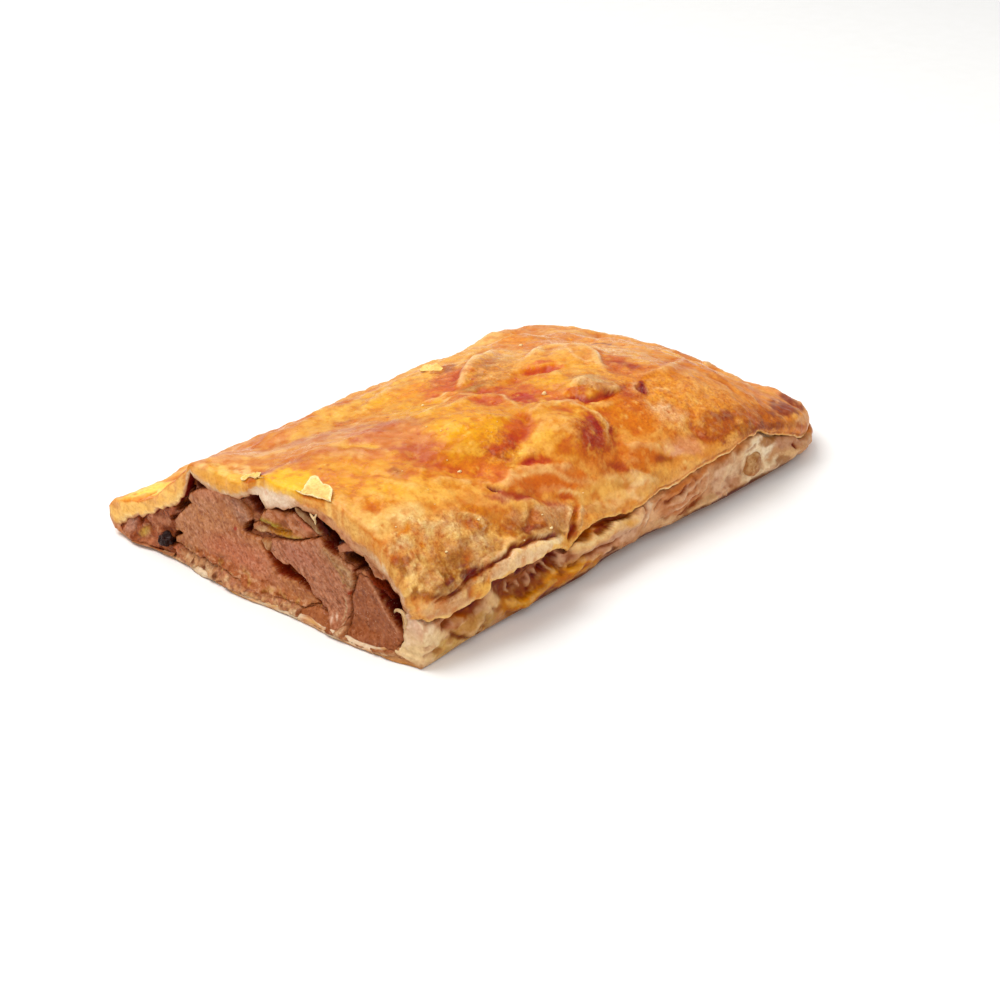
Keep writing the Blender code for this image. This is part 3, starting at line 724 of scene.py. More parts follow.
# ---------------------------------------------------------------------------
# Crust: one skin that turns in at the cut and at its lower edge
# ---------------------------------------------------------------------------
def crust_relief(s, region_top, region_wing):
    """Height of the crust's relief in mm, outwards along its normal."""
    p = s.p
    d = 0.55 * fbm(p, 17.0, 3, 3) + 0.22 * fbm(p, 6.0, 3, 9)
    # Long wrinkles that run along the strudel, as rolled dough has.
    d += 0.20 * ridged(p, 11.0, 2, 21, (0.35, 1.0, 0.6)) * region_top
    # Small blisters, more of them on the floury near shoulder.
    dist, pick = cells(p, 4.2, 11)
    floury = clamp(smooth(46.0, 22.0, s.p[..., 1]) * smooth(70.0, 40.0, p[..., 0]) + 0.25)
    d += 0.42 * clamp(0.62 - dist) * (pick > 0.45) * floury * 1.6
    dist, pick = cells(p, 2.1, 43)
    d += 0.20 * clamp(0.6 - dist) * (pick > 0.4) * (0.35 + 0.65 * floury)

    # The bulge over the first row of apple, with its raised rim, which carries a painted highlight, and steep right
    # end.
    d += 1.0 * s.ridge([(398, 424), (420, 416), (444, 409), (475, 397), (508, 400), (522, 411)], 1.4, 4.5)
    d -= 1.5 * s.ridge([(527, 412), (525, 430), (516, 450), (505, 460)], 3.0, 3.0)
    d += 1.6 * s.bump(462, 428, 11, 8) + 0.8 * s.bump(496, 420, 6, 6)
    # The second bulge.
    d += 1.1 * s.ridge([(526, 419), (540, 409), (556, 404), (584, 410), (602, 424), (609, 445)], 1.3, 4.0)
    d += 1.7 * s.bump(568, 430, 8, 9)
    d -= 1.3 * s.line([(612, 428), (620, 446), (618, 462)], 2.6)
    d -= 1.2 * s.line([(400, 452), (430, 462), (466, 470), (498, 474)], 4.0)
    # Folds behind them.
    d += 1.7 * s.ridge([(459, 392), (462, 380), (472, 364), (492, 353), (512, 353)], 1.3, 3.6)
    d -= 0.9 * s.line([(468, 394), (490, 392), (512, 384), (522, 376)], 2.2)
    d += 1.8 * s.ridge([(519, 366), (530, 357), (548, 350), (566, 348), (594, 355), (606, 373)], 1.3, 4.0)
    d -= 2.1 * s.bump(541, 370, 6.0, 2.6, -42)
    d += 0.8 * s.ridge([(528, 381), (545, 376), (563, 373)], 1.6, 3.0)
    d += 1.7 * s.ridge([(570, 390), (582, 384), (598, 389), (611, 391), (621, 385)], 3.6, 0.9)
    d -= 1.6 * s.line([(565, 396), (577, 397), (590, 401), (604, 397), (617, 390)], 1.5)
    d += 0.7 * s.ridge([(560, 402), (580, 404), (600, 412)], 2.0, 1.2)
    # A small open bubble and two blisters beside it.
    d += 0.7 * s.ring(640, 389, 2.6, 0.9) - 1.8 * s.bump(641, 390, 1.4, 2.0)
    d += 0.3 * s.ring(663, 395, 2.6, 0.7) + 0.35 * s.ridge([(655, 404), (663, 409), (671, 404)], 0.7, 0.7)
    d += 0.9 * s.ridge([(628, 384), (640, 377), (650, 374), (668, 367), (684, 361)], 1.3, 3.0)
    d += 0.9 * s.ridge([(684, 361), (706, 364), (721, 369), (740, 381), (754, 394)], 1.2, 3.4)
    d -= 0.6 * s.line([(700, 372), (722, 382), (742, 398)], 2.5)
    d += 0.8 * s.bump(700, 398, 9, 8) + 0.6 * s.bump(668, 425, 7, 6)
    d += 1.2 * s.bump(642, 457, 7.5, 6.5) + 0.8 * s.ridge([(612, 452), (628, 446), (650, 445), (668, 452)], 1.2, 3.0)
    d += 1.1 * s.bump(720, 428, 7, 6) - 0.9 * s.line([(690, 404), (694, 424), (703, 444)], 2.2)
    d += 0.9 * s.bump(778, 404, 8, 6)
    d -= 0.9 * s.line([(742, 400), (752, 412), (756, 428)], 2.4)
    # Ridges and creases above the seam.
    d += 1.0 * s.ridge([(498, 487), (507, 479), (518, 471), (539, 466), (562, 467), (580, 474)], 1.2, 4.2)
    d -= 0.7 * s.line([(512, 464), (530, 462), (546, 458)], 2.0)
    d -= 1.7 * s.line([(486, 486), (494, 488), (503, 490)], 0.8)
    d -= 0.6 * s.line([(503, 490), (520, 496), (536, 498)], 1.6)
    d += 0.9 * s.ridge([(493, 499), (516, 503), (545, 505), (578, 507)], 1.0, 3.0)
    d -= 1.1 * s.bump(567, 498, 4.0, 1.2, -20)
    d += 1.5 * s.bump(549, 518, 7.5, 5.0) + 0.9 * s.bump(522, 522, 4.0, 5.0)
    d -= 1.1 * s.line([(536, 508), (533, 520), (524, 536)], 1.7)
    d += 0.8 * s.ridge([(566, 507), (573, 516), (574, 530)], 1.0, 2.0)
    d += 0.9 * s.ridge([(600, 478), (625, 474), (648, 481), (652, 492)], 1.4, 3.2)
    d -= 0.6 * s.line([(590, 489), (604, 500), (622, 506)], 3.0)
    d -= 0.7 * s.line([(612, 468), (634, 470), (652, 468)], 1.6)
    # The floury near shoulder: blisters, a pit with a pale rim, a broken flake.
    d += 0.9 * s.bump(427, 574, 2.6, 5.0, 10) + 0.5 * s.ring(427, 574, 4.0, 0.8, 1.6)
    d -= 1.1 * s.bump(470, 524, 3.2, 2.2, -30)
    d += 0.8 * s.ridge([(452, 519), (463, 516), (478, 518), (486, 530)], 1.0, 1.0)
    d += 0.7 * s.ridge([(414, 528), (430, 522), (446, 524), (462, 536)], 1.1, 2.4)
    d += 0.7 * s.ridge([(384, 545), (398, 538), (414, 540)], 1.3, 2.0)
    d -= 0.7 * s.bump(396, 559, 1.7, 1.7)
    d += 0.7 * s.ridge([(470, 545), (482, 548), (487, 560), (480, 572)], 1.3, 2.0)
    d -= 0.5 * s.bump(440, 552, 6, 4)
    # The left part of the top: broad shallow folds that run to the left.
    d += 0.6 * s.ridge([(300, 452), (330, 447), (360, 437), (400, 431)], 1.6, 3.5)
    d += 0.5 * s.ridge([(262, 458), (292, 458), (325, 452), (362, 450), (400, 452)], 1.4, 3.0)
    d += 0.7 * s.ridge([(352, 418), (369, 404), (388, 391), (404, 385)], 1.5, 2.5)
    d += 0.6 * s.ridge([(404, 415), (425, 405), (447, 396), (462, 390)], 1.6, 3.0)
    d -= 0.5 * s.line([(330, 426), (345, 423), (362, 419)], 1.2)
    d += 0.5 * s.ridge([(366, 481), (380, 477), (400, 484), (430, 490)], 1.2, 3.4)
    d -= 0.6 * s.line([(358, 468), (380, 480), (404, 486)], 2.2)
    d += 0.5 * s.ridge([(430, 486), (455, 480), (478, 483)], 1.4, 2.6)
    # The wing beside the cut is crimped.
    for pts, h in (([(112, 512), (122, 503), (134, 499)], 0.9), ([(128, 518), (138, 505), (150, 495)], 1.2),
                   ([(146, 519), (156, 505), (164, 490)], 1.0), ([(158, 513), (168, 500), (178, 484)], 1.3),
                   ([(172, 505), (180, 492), (186, 474)], 1.0)):
        d += h * s.ridge(pts, 1.7, 1.7)
    d -= 0.9 * s.line([(120, 512), (130, 507), (140, 503)], 1.3) + 0.8 * s.line([(138, 514), (147, 503), (156, 492)], 1.3)
    # The seam on the near side: the crust is pinched in above the ledge below.
    seam = [(434, 604), (446, 597), (455, 590), (463, 583.5), (473, 574.5), (481, 570), (492, 563.5), (506, 555), (516, 546.5), (531, 540), (546, 537), (559, 537)]
    d += 1.3 * s.ridge(seam, 5.0, 0.5, 0.1)
    d -= 2.2 * s.line(seam, 0.55, 0.06)
    d += 0.9 * s.ridge([(447, 603), (463, 592), (478, 579), (492, 570)], 1.2, 2.0, 0.2)
    d += 0.8 * s.ridge([(487, 573), (506, 562), (524, 551), (540, 545), (556, 542)], 1.2, 2.0, 0.2)
    d -= 0.9 * s.bump(470, 590, 1.6, 2.4, 20)
    d -= 2.2 * s.line([(574, 510), (571.5, 524), (570, 540)], 1.0, 0.1)
    d += 1.2 * s.line([(581, 503), (579, 515), (577, 530)], 1.0, 0.2) + 0.8 * s.line([(567, 512), (566, 524), (566, 534)], 1.0, 0.2)
    # The outline against the light: higher over the folds, lower to their right.
    d += 3.2 * s.bump(497, 340, 15, 9) + 1.2 * s.bump(462, 352, 10, 7) - 2.2 * s.bump(596, 334, 16, 8)
    d += 0.9 * s.bump(662, 350, 14, 8)
    # Fine creases and small blisters all over.
    warp = np.stack([fbm(p, 8.0, 2, 251), fbm(p, 8.0, 2, 253), 0.0 * p[..., 0]], -1) * 2.0
    crease = ridged(p + warp, 7.0, 3, 257, (0.5, 1.0, 0.8))
    calm = 1.0 - 0.75 * blob(s.pix, 320, 455, 150, 40, -8, 2)
    d += (0.24 * crease * region_top + 0.22 * fbm(p, 3.2, 3, 261) + 0.12 * fbm(p, 1.7, 2, 263)) * calm
    d -= 2.6 * s.bump(262, 441, 8, 13) * smooth(0.0, 4.0, s.X if hasattr(s, "X") else 10.0)
    # The far side, in the same manner.
    d += region_wing * (0.9 * ridged(p, 16.0, 2, 61, (1.0, 0.35, 0.5)) - 0.3)
    return d


# Lower edge of the crust in the cut, from the near side to the tip of the wing
# and back under it: the place across on the outer skin, then (y, z).
CEILING = (
    (-2.0, 6.2, 16.4), (0.0, 6.4, 18.4), (4.0, 7.8, 21.9), (10.0, 11.3, 26.6), (18.0, 17.8, 30.2), (29.0, 28.2, 33.8),
    (36.0, 34.5, 37.0), (42.0, 41.7, 39.6), (52.0, 51.3, 39.4), (59.0, 58.0, 37.0), (66.0, 65.6, 34.8),
    (68.6, 68.2, 38.4), (72.5, 72.3, 37.6), (78.0, 77.4, 34.2), (84.0, 83.5, 32.6), (89.0, 89.0, 31.9),
    (94.0, 93.6, 33.2), (98.0, 97.6, 35.0), (101.0, 100.6, 36.6), (104.0, 103.0, 31.0), (107.0, 105.0, 25.6),
    (110.0, 107.6, 23.2), (114.0, 111.4, 21.2), (119.0, 115.6, 18.6), (124.0, 120.6, 15.4), (130.0, 126.6, 11.9),
    (136.0, 132.2, 9.0), (141.0, 136.6, 6.9),
)


def make_crust():
    xs = row_positions()
    P, V = crust_base(xs)
    X = np.broadcast_to(xs[:, None], V.shape).copy()
    N = grid_normals(P)
    if N[100, J_TOP + 60, 2] < 0:
        N = -N
    step = np.linalg.norm(np.diff(P, axis=1), axis=-1)
    Q = np.concatenate([np.zeros((len(xs), 1)), np.cumsum(step, 1)], 1)
    Q = Q - Q[:, J_TOP:J_TOP + 1]
    cols = np.arange(V.shape[1])[None, :] + 0.0 * V
    outer = smooth(4.0, 9.0, cols) * smooth(J_UNDER + 2.0, J_UNDER - 3.0, cols)
    c = Canvas(P, X, Q, N, (cols > 3) & (cols < J_UNDER - 2))
    region_top = smooth(2.0, 12.0, V) * smooth(112.0, 98.0, V)
    region_wing = smooth(102.0, 116.0, V) * smooth(6.0, 24.0, X) * outer
    d = crust_relief(c, region_top, region_wing)
    d = d * outer * (1.0 - 0.8 * smooth(206.0, 222.0, X))
    line = np.stack([X, 0.0 * X, 0.0 * X], -1)
    rag = 0.8 * fbm(line, 3.4, 3, 5) + 0.4 * fbm(line, 11.0, 2, 8)
    # rounded over, and ragged, along the cut
    d = d - 0.9 * clamp(1.0 - X / 1.8) ** 2
    G = P + N * d[..., None]
    full_end = np.exp(-((P[..., 0] - 208.0) / 8.0) ** 2 - ((P[..., 1] - 19.0) / 10.0) ** 2)
    G[..., 2] += 3.2 * full_end * outer * smooth(7.0, 11.0, P[..., 2])
    G[..., 2] -= 1.6 * np.exp(-((P[..., 0] - 37.0) / 6.0) ** 2 - ((P[..., 1] - 105.0) / 6.0) ** 2) * outer
    G[..., 0] += (0.55 * fbm(P, 5.0, 3, 241) + 0.3 * fbm(P, 1.8, 2, 243)) * smooth(4.0, 0.0, X)
    G[..., 2] += rag * smooth(12.0, 0.0, np.abs(cols - N_TURN + 1)) * smooth(LENGTH - 4, LENGTH - 24, X)
    G[..., 2] = np.maximum(G[..., 2], 0.3)
    G[..., 0] -= apron(P[..., 1]) * smooth(J_TIP + 3.0, J_TIP + 9.0, cols) * smooth(5.0, 0.0, X)
    # the cut: the skin turns in over the edge and runs back along the ceiling
    first = G[0]
    j_knots = [N_TURN + 0.0]
    yz = [(CEILING[0][1], CEILING[0][2])]
    v0 = V[0]
    for v, y, z in CEILING[1:]:
        seg = v0[N_TURN:J_TIP]
        j_knots.append(N_TURN + float(np.argmin(np.abs(seg - v))))
        yz.append((y, z))
    for j, y, z in ((J_TIP + 2, 139.8, 5.0), (J_TIP + 6, 140.4, 3.4), (J_UNDER - 1, 138.0, 2.3), (J_UNDER + 3, 131.0, 1.5),
                    (J_UNDER + 6, 122.5, 1.3), (J_UNDER + N_UNDER - 1, 112.0, 1.4)):
        j_knots.append(float(j))
        yz.append((y, z))
    yz = np.array(yz)
    jj = np.arange(V.shape[1], dtype=float)
    iy, iz = np.interp(jj, j_knots, yz[:, 0]), np.interp(jj, j_knots, yz[:, 1])
    wob = np.stack([iy, iz, 0 * iy], -1)
    iz = iz + 0.7 * fbm(wob, 2.6, 3, 19) + 0.5 * fbm(wob, 7.0, 2, 23)
    iy = iy + 0.4 * fbm(wob, 3.0, 2, 29)
    inner = np.stack([-SKEW * iy - 0.8 * apron(iy) * smooth(J_TIP + 3.0, J_TIP + 9.0, jj), iy, iz], -1)
    bands, depth = 9, 18
    rows = []
    for k in range(depth, 0, -1):
        x = 17.0 * (k / depth) ** 1.3
        q = inner + np.array([1.0, 0.0, 0.0]) * x
        lift = 0.8 * fbm(q, 5.0, 3, 37) * smooth(0.0, 4.0, x)
        q = q + np.stack([0 * lift, 0.3 * lift, lift], -1)
        rows.append(q)
    for k in range(bands):
        t = k / bands
        q = inner * (1.0 - t) + first * t
        lay = 0.42 * fbm(np.stack([q[:, 1] * 0.25, q[:, 2] * 1.6, 0 * t + 0 * iy], -1), 1.6, 3, 41) * math.sin(math.pi * (0.15 + 0.8 * t))
        crimp = 0.9 * ridged(q, 6.5, 2, 43, (1.0, 1.0, 0.3)) * smooth(103.0, 108.0, q[:, 1]) * math.sin(math.pi * t)
        q = q + np.stack([lay - crimp - 0.5 * math.sin(math.pi * t), 0 * lay, 0 * lay], -1)
        rows.append(q)
    cutrows = np.stack(rows, 0)
    full = np.concatenate([cutrows, G], 0)
    return xs, c, G, full, V, X, cols, d, len(rows), depth


XS, C, G, FULL, V, X, COLS, RELIEF, N_CUT, N_INNER = make_crust()


def region_flat(p, y):
    """Where the top has scattered blisters."""
    return smooth(0.0, 0.5, fbm(p, 12.0, 2, 187) + 0.2) * smooth(96.0, 80.0, y)


def paint_crust(c, V, X, cols, relief):
    p = c.p
    y = p[..., 1]
    big, mid, small = fbm(p, 34.0, 3, 71), fbm(p, 9.0, 3, 77), fbm(p, 2.6, 3, 83)
    seen = c.seen
    hidden = 1.0 - seen
    c.colour = np.broadcast_to(np.array([233.0, 158.0, 80.0]), V.shape + (3,)).copy()
    # broad tones, where nothing else is drawn
    c.coat((247, 188, 98), smooth(-0.1, 0.6, -big), 0.6)
    c.coat((214, 122, 58), smooth(0.0, 0.7, big + 0.4 * mid), 0.65)
    c.coat((170, 84, 42), hidden * smooth(0.35, 0.9, big + 0.5 * mid), 0.7)
    # the near part of the top: glossy, pinkish brown with yellow streaks; the pinkish brown is partly the glaze's
    # colour and partly a painted reflection of the white studio
    P = c.patch
    c.coat((226, 150, 92), P(300, 445, 120, 26, -8, 2), 0.8)
    c.coat((228, 168, 124), P(296, 442, 62, 11, -10), 0.8)
    c.coat((243, 184, 96), P(330, 420, 60, 8, -22), 0.7)
    c.coat((246, 190, 100), P(370, 397, 50, 7, -28), 0.7)
    c.coat((226, 148, 98), P(392, 440, 52, 15, -6), 0.85)
    c.coat((205, 116, 92), P(372, 432, 34, 6, -14), 0.7)
    c.coat((200, 112, 96), P(420, 452, 26, 8, 6), 0.55)
    c.coat((238, 168, 62), P(418, 410, 24, 9, -24), 0.8)
    c.coat((221, 118, 58), P(438, 392, 24, 7, -20), 0.75)
    c.coat((240, 178, 100), c.line([(262, 450), (300, 447), (340, 440), (372, 437)], 1.2), 0.7)
    c.coat((236, 170, 120), c.line([(290, 458), (340, 452), (380, 448)], 1.0), 0.7)
    c.coat((232, 168, 116), P(215, 458, 32, 8, -12), 0.7)
    c.coat((214, 140, 104), P(212, 451, 30, 4, -14), 0.7)
    c.coat((250, 205, 120), P(212, 470, 26, 6, 8), 0.8)
    c.coat((248, 196, 96), P(244, 478, 26, 7, 12), 0.8)
    c.coat((253, 198, 76), P(293, 483, 33, 12, 2, 3), 0.95)
    c.coat((238, 162, 72), P(352, 486, 44, 13, 4), 0.85)
    c.coat((250, 190, 98), P(408, 492, 50, 14, 4), 0.85)
    c.coat((240, 168, 62), P(386, 488, 22, 6, 12), 0.6)
    c.coat((244, 180, 90), P(360, 466, 50, 9, 4), 0.7)
    # the first bulge: painted light on its top, painted shade on its steep right end and along its foot, and a painted
    # highlight along its rim
    c.coat((243, 171, 64), P(466, 424, 42, 20, -4, 2), 0.85)
    c.coat((250, 188, 84), P(450, 428, 24, 11, -8), 0.7)
    c.coat((222, 124, 20), P(516, 432, 12, 20, 12), 0.95)
    c.coat((212, 120, 50), P(476, 452, 34, 8, -4), 0.75)
    c.coat((230, 140, 68), P(470, 468, 46, 9, -4), 0.8)
    c.coat((250, 200, 130), c.ridge([(398, 424), (420, 416), (444, 409), (475, 397), (508, 400), (522, 411)], 0.8, 1.0), 0.6)
    # the second bulge, with its dark patch; painted light on its top and left flank, painted shade on its right side
    # and a painted highlight along its rim
    c.coat((236, 168, 90), P(552, 430, 28, 24, 10, 2), 0.85)
    c.coat((214, 120, 62), P(600, 450, 40, 20, 10), 0.6)
    c.coat((184, 88, 42), P(592, 436, 24, 20, 20, 2), 0.8)
    c.coat((176, 80, 26), P(594, 428, 13, 11, 20), 0.85)
    c.coat((250, 195, 130), c.ridge([(526, 419), (540, 409), (556, 404), (584, 410), (602, 424), (609, 445)], 0.8, 0.9), 0.6)
    c.coat((252, 196, 96), c.ridge([(520, 462), (530, 446), (548, 436), (556, 424)], 2.2, 2.2), 0.5)
    # behind the bulges: red glaze, folds, flour, with painted highlights along the fold ridges and a painted shadow
    # under the curled ridge
    c.coat((218, 122, 52), P(500, 395, 52, 9, -4, 2), 0.85)
    c.coat((196, 88, 58), P(520, 400, 22, 6, 10), 0.7)
    c.coat((226, 160, 88), P(492, 374, 28, 15, -24, 2), 0.85)
    c.coat((188, 134, 84), P(476, 389, 16, 6, -14), 0.75)
    c.coat((206, 150, 92), P(490, 364, 20, 6, -24), 0.6)
    c.coat((247, 206, 156), c.ridge([(459, 392), (462, 380), (472, 364), (492, 353), (512, 353)], 0.8, 1.0), 0.75)
    c.coat((214, 118, 64), P(446, 380, 20, 8, -16), 0.8)
    c.coat((160, 80, 56), P(444, 370, 18, 4, -12), 0.6)
    c.coat((234, 148, 66), P(548, 338, 80, 14, 3, 2), 0.9)
    c.coat((224, 140, 84), P(530, 346, 40, 5, -6), 0.6)
    c.coat((222, 146, 92), P(545, 331, 55, 5, 0), 0.6)
    c.coat((240, 168, 78), P(570, 366, 44, 12, 4), 0.8)
    c.coat((246, 208, 168), c.ridge([(519, 366), (530, 357), (548, 350), (566, 348), (594, 355), (606, 373)], 0.8, 1.0), 0.7)
    c.coat((219, 112, 12), P(542, 369, 19, 5, -3, 2), 0.95)
    c.coat((238, 170, 66), P(546, 384, 26, 7, -6), 0.8)
    c.coat((222, 122, 60), P(560, 396, 30, 8, 4), 0.7)
    c.coat((214, 164, 110), P(594, 383, 26, 7, 4), 0.85)
    c.coat((248, 210, 160), c.ridge([(590, 391), (604, 393), (621, 385)], 0.9, 0.7), 0.8)
    # painted shadow under the curled ridge
    c.coat((140, 66, 14), c.line([(565, 396), (577, 397), (590, 401), (604, 397), (617, 390)], 1.2), 0.9)
    c.coat((196, 92, 58), P(576, 403, 22, 4, 6), 0.7)
    c.coat((200, 102, 66), P(625, 366, 24, 9, 6), 0.75)
    c.coat((236, 166, 96), P(620, 347, 50, 7, 6), 0.7)
    # right of it: orange, with brown and purple patches
    c.coat((232, 150, 70), P(680, 392, 70, 28, 16, 2), 0.8)
    c.coat((222, 128, 58), P(628, 414, 38, 20, 20, 2), 0.8)
    c.coat((240, 178, 122), P(668, 412, 22, 10, 8), 0.8)
    c.coat((236, 160, 84), P(700, 384, 36, 12, 18), 0.7)
    c.coat((110, 28, 18), c.bump(641, 391, 1.3, 1.7), 0.95)
    c.coat((246, 206, 176), c.ring(640, 389, 2.7, 0.8), 0.75)
    # painted highlights along the blister edges and along the crest
    c.coat((246, 206, 160), c.ridge([(655, 390), (662, 387), (670, 391)], 0.7, 0.7) + c.ridge([(655, 404), (663, 409), (671, 404)], 0.7, 0.7), 0.55)
    c.coat((246, 206, 170), c.ridge([(640, 377), (650, 374), (668, 367), (684, 361), (706, 364), (721, 369), (740, 381), (754, 394)], 0.8, 0.8), 0.28)
    c.coat((186, 100, 42), P(714, 426, 24, 16, 0, 2), 0.85)
    c.coat((150, 78, 34), P(722, 418, 12, 8, 0), 0.6)
    c.coat((190, 108, 56), P(760, 418, 34, 14, 12, 2), 0.8)
    c.coat((148, 84, 70), P(784, 407, 20, 8, 16, 2), 0.85)
    c.coat((228, 150, 90), P(762, 392, 26, 6, 24), 0.7)
    c.coat((226, 154, 112), P(684, 446, 22, 12, 0), 0.7)
    c.coat((236, 176, 136), P(676, 450, 12, 7, 0), 0.6)
    c.coat((210, 114, 52), P(642, 456, 24, 13, 0, 2), 0.85)
    c.coat((148, 74, 44), P(622, 470, 15, 5, 10, 2), 0.8)
    c.coat((240, 200, 170), P(637, 473, 7, 2.5, 10), 0.7)
    c.coat((232, 176, 112), P(628, 483, 30, 9, 8, 2), 0.85)
    c.coat((222, 152, 84), P(604, 500, 30, 16, -10, 2), 0.85)
    c.coat((234, 168, 98), P(690, 466, 22, 7, -24), 0.8)
    c.coat((230, 160, 92), P(740, 440, 18, 7, -24), 0.8)
    # above the seam: red-brown, with ridges; painted highlights on the ridges and the vertical folds, painted shade in
    # the crack and the grooves
    c.coat((218, 116, 56), P(540, 478, 54, 18, 2, 2), 0.85)
    c.coat((190, 86, 50), P(530, 462, 22, 5, -4, 2), 0.75)
    c.coat((176, 84, 66), P(510, 497, 26, 5, 8, 2), 0.75)
    c.coat((238, 168, 96), c.ridge([(498, 487), (507, 479), (518, 471), (539, 466), (562, 467), (580, 474)], 1.0, 1.6), 0.7)
    c.coat((60, 20, 10), c.line([(486, 486), (494, 488), (503, 490)], 0.6), 0.9)
    c.coat((206, 100, 40), c.bump(567, 498, 3.6, 1.0, -20), 0.9)
    c.coat((240, 190, 120), c.ring(567, 498, 4.2, 0.7, 0.5), 0.5)
    c.coat((228, 152, 84), P(480, 506, 30, 10, 4), 0.7)
    c.coat((224, 166, 110), P(546, 520, 40, 15, -6, 2), 0.9)
    c.coat((176, 112, 62), P(549, 522, 18, 11, -6, 2), 0.8)
    c.coat((232, 180, 134), P(562, 512, 12, 5, 4), 0.7)
    c.coat((216, 158, 116), c.line([(516, 508), (516, 520), (513, 532)], 1.3), 0.8)
    c.coat((180, 112, 60), c.line([(531, 507), (529, 518), (526, 530)], 1.4), 0.85)
    c.coat((232, 184, 140), c.line([(538, 509), (536, 519), (534, 528)], 0.7), 0.6)
    c.coat((150, 92, 46), P(545, 535, 30, 3, -8), 0.7)
    c.coat((196, 100, 26), P(577, 517, 5, 13, 8), 0.9)
    c.coat((240, 190, 130), c.line([(568, 510), (567, 522), (568, 536)], 0.6), 0.8)
    c.coat((240, 184, 110), c.line([(583, 502), (581, 514), (578, 528)], 0.7), 0.7)
    c.coat((240, 176, 92), P(612, 494, 34, 13, -8, 2), 0.85)
    c.coat((226, 166, 110), P(604, 507, 26, 6, -14, 2), 0.6)
    # the floury near shoulder
    c.coat((234, 174, 102), P(440, 552, 62, 42, -14, 2), 0.9)
    c.coat((236, 176, 98), P(392, 530, 30, 18, 20, 2), 0.8)
    c.coat((248, 200, 118), P(404, 596, 18, 30, -24, 2), 0.8)
    c.coat((186, 128, 76), P(478, 558, 26, 20, -28, 2), 0.85)
    c.coat((176, 110, 58), P(444, 566, 18, 20, 10), 0.6)
    c.coat((232, 186, 124), P(440, 528, 26, 7, -4), 0.6)
    c.coat((228, 182, 120), P(427, 574, 8, 14, 0, 2), 0.8)
    c.coat((216, 124, 30), P(472, 525, 11, 5, 10, 2), 0.9)
    c.coat((242, 196, 122), c.ridge([(452, 519), (463, 516), (478, 518), (486, 530)], 0.7, 0.7), 0.8)
    c.coat((222, 126, 38), c.bump(396, 559, 1.7, 1.7), 0.85)
    c.coat((218, 120, 44), c.bump(388, 545, 1.3, 1.3) + c.bump(411, 566, 1.1, 1.6), 0.8)
    # pale and brown mottling on the shoulder
    shoulder = P(440, 556, 66, 46, -14, 3)
    dist, pick = cells(p, 3.4, 91)
    c.coat((240, 200, 140), shoulder * smooth(0.45, 0.1, dist) * (pick > 0.55), 0.5)
    c.coat((156, 92, 46), shoulder * smooth(0.1, 0.5, fbm(p, 4.6, 3, 93, 0.65)), 0.7)
    c.coat((246, 204, 128), shoulder * smooth(0.15, 0.5, fbm(p, 3.0, 3, 95, 0.65)), 0.65)
    c.coat((240, 206, 160), P(482, 548, 9, 14, -20, 2), 0.75)
    c.coat((236, 200, 150), P(404, 548, 12, 6, -10, 2), 0.6)
    c.coat((240, 200, 132), P(430, 574, 8, 15, 12, 3), 0.8)
    c.coat((150, 92, 52), P(458, 560, 16, 12, -20, 2), 0.6)
    c.coat((222, 122, 40), P(406, 532, 8, 4, -20) + P(424, 545, 4, 3) + P(392, 566, 3, 3), 0.7)
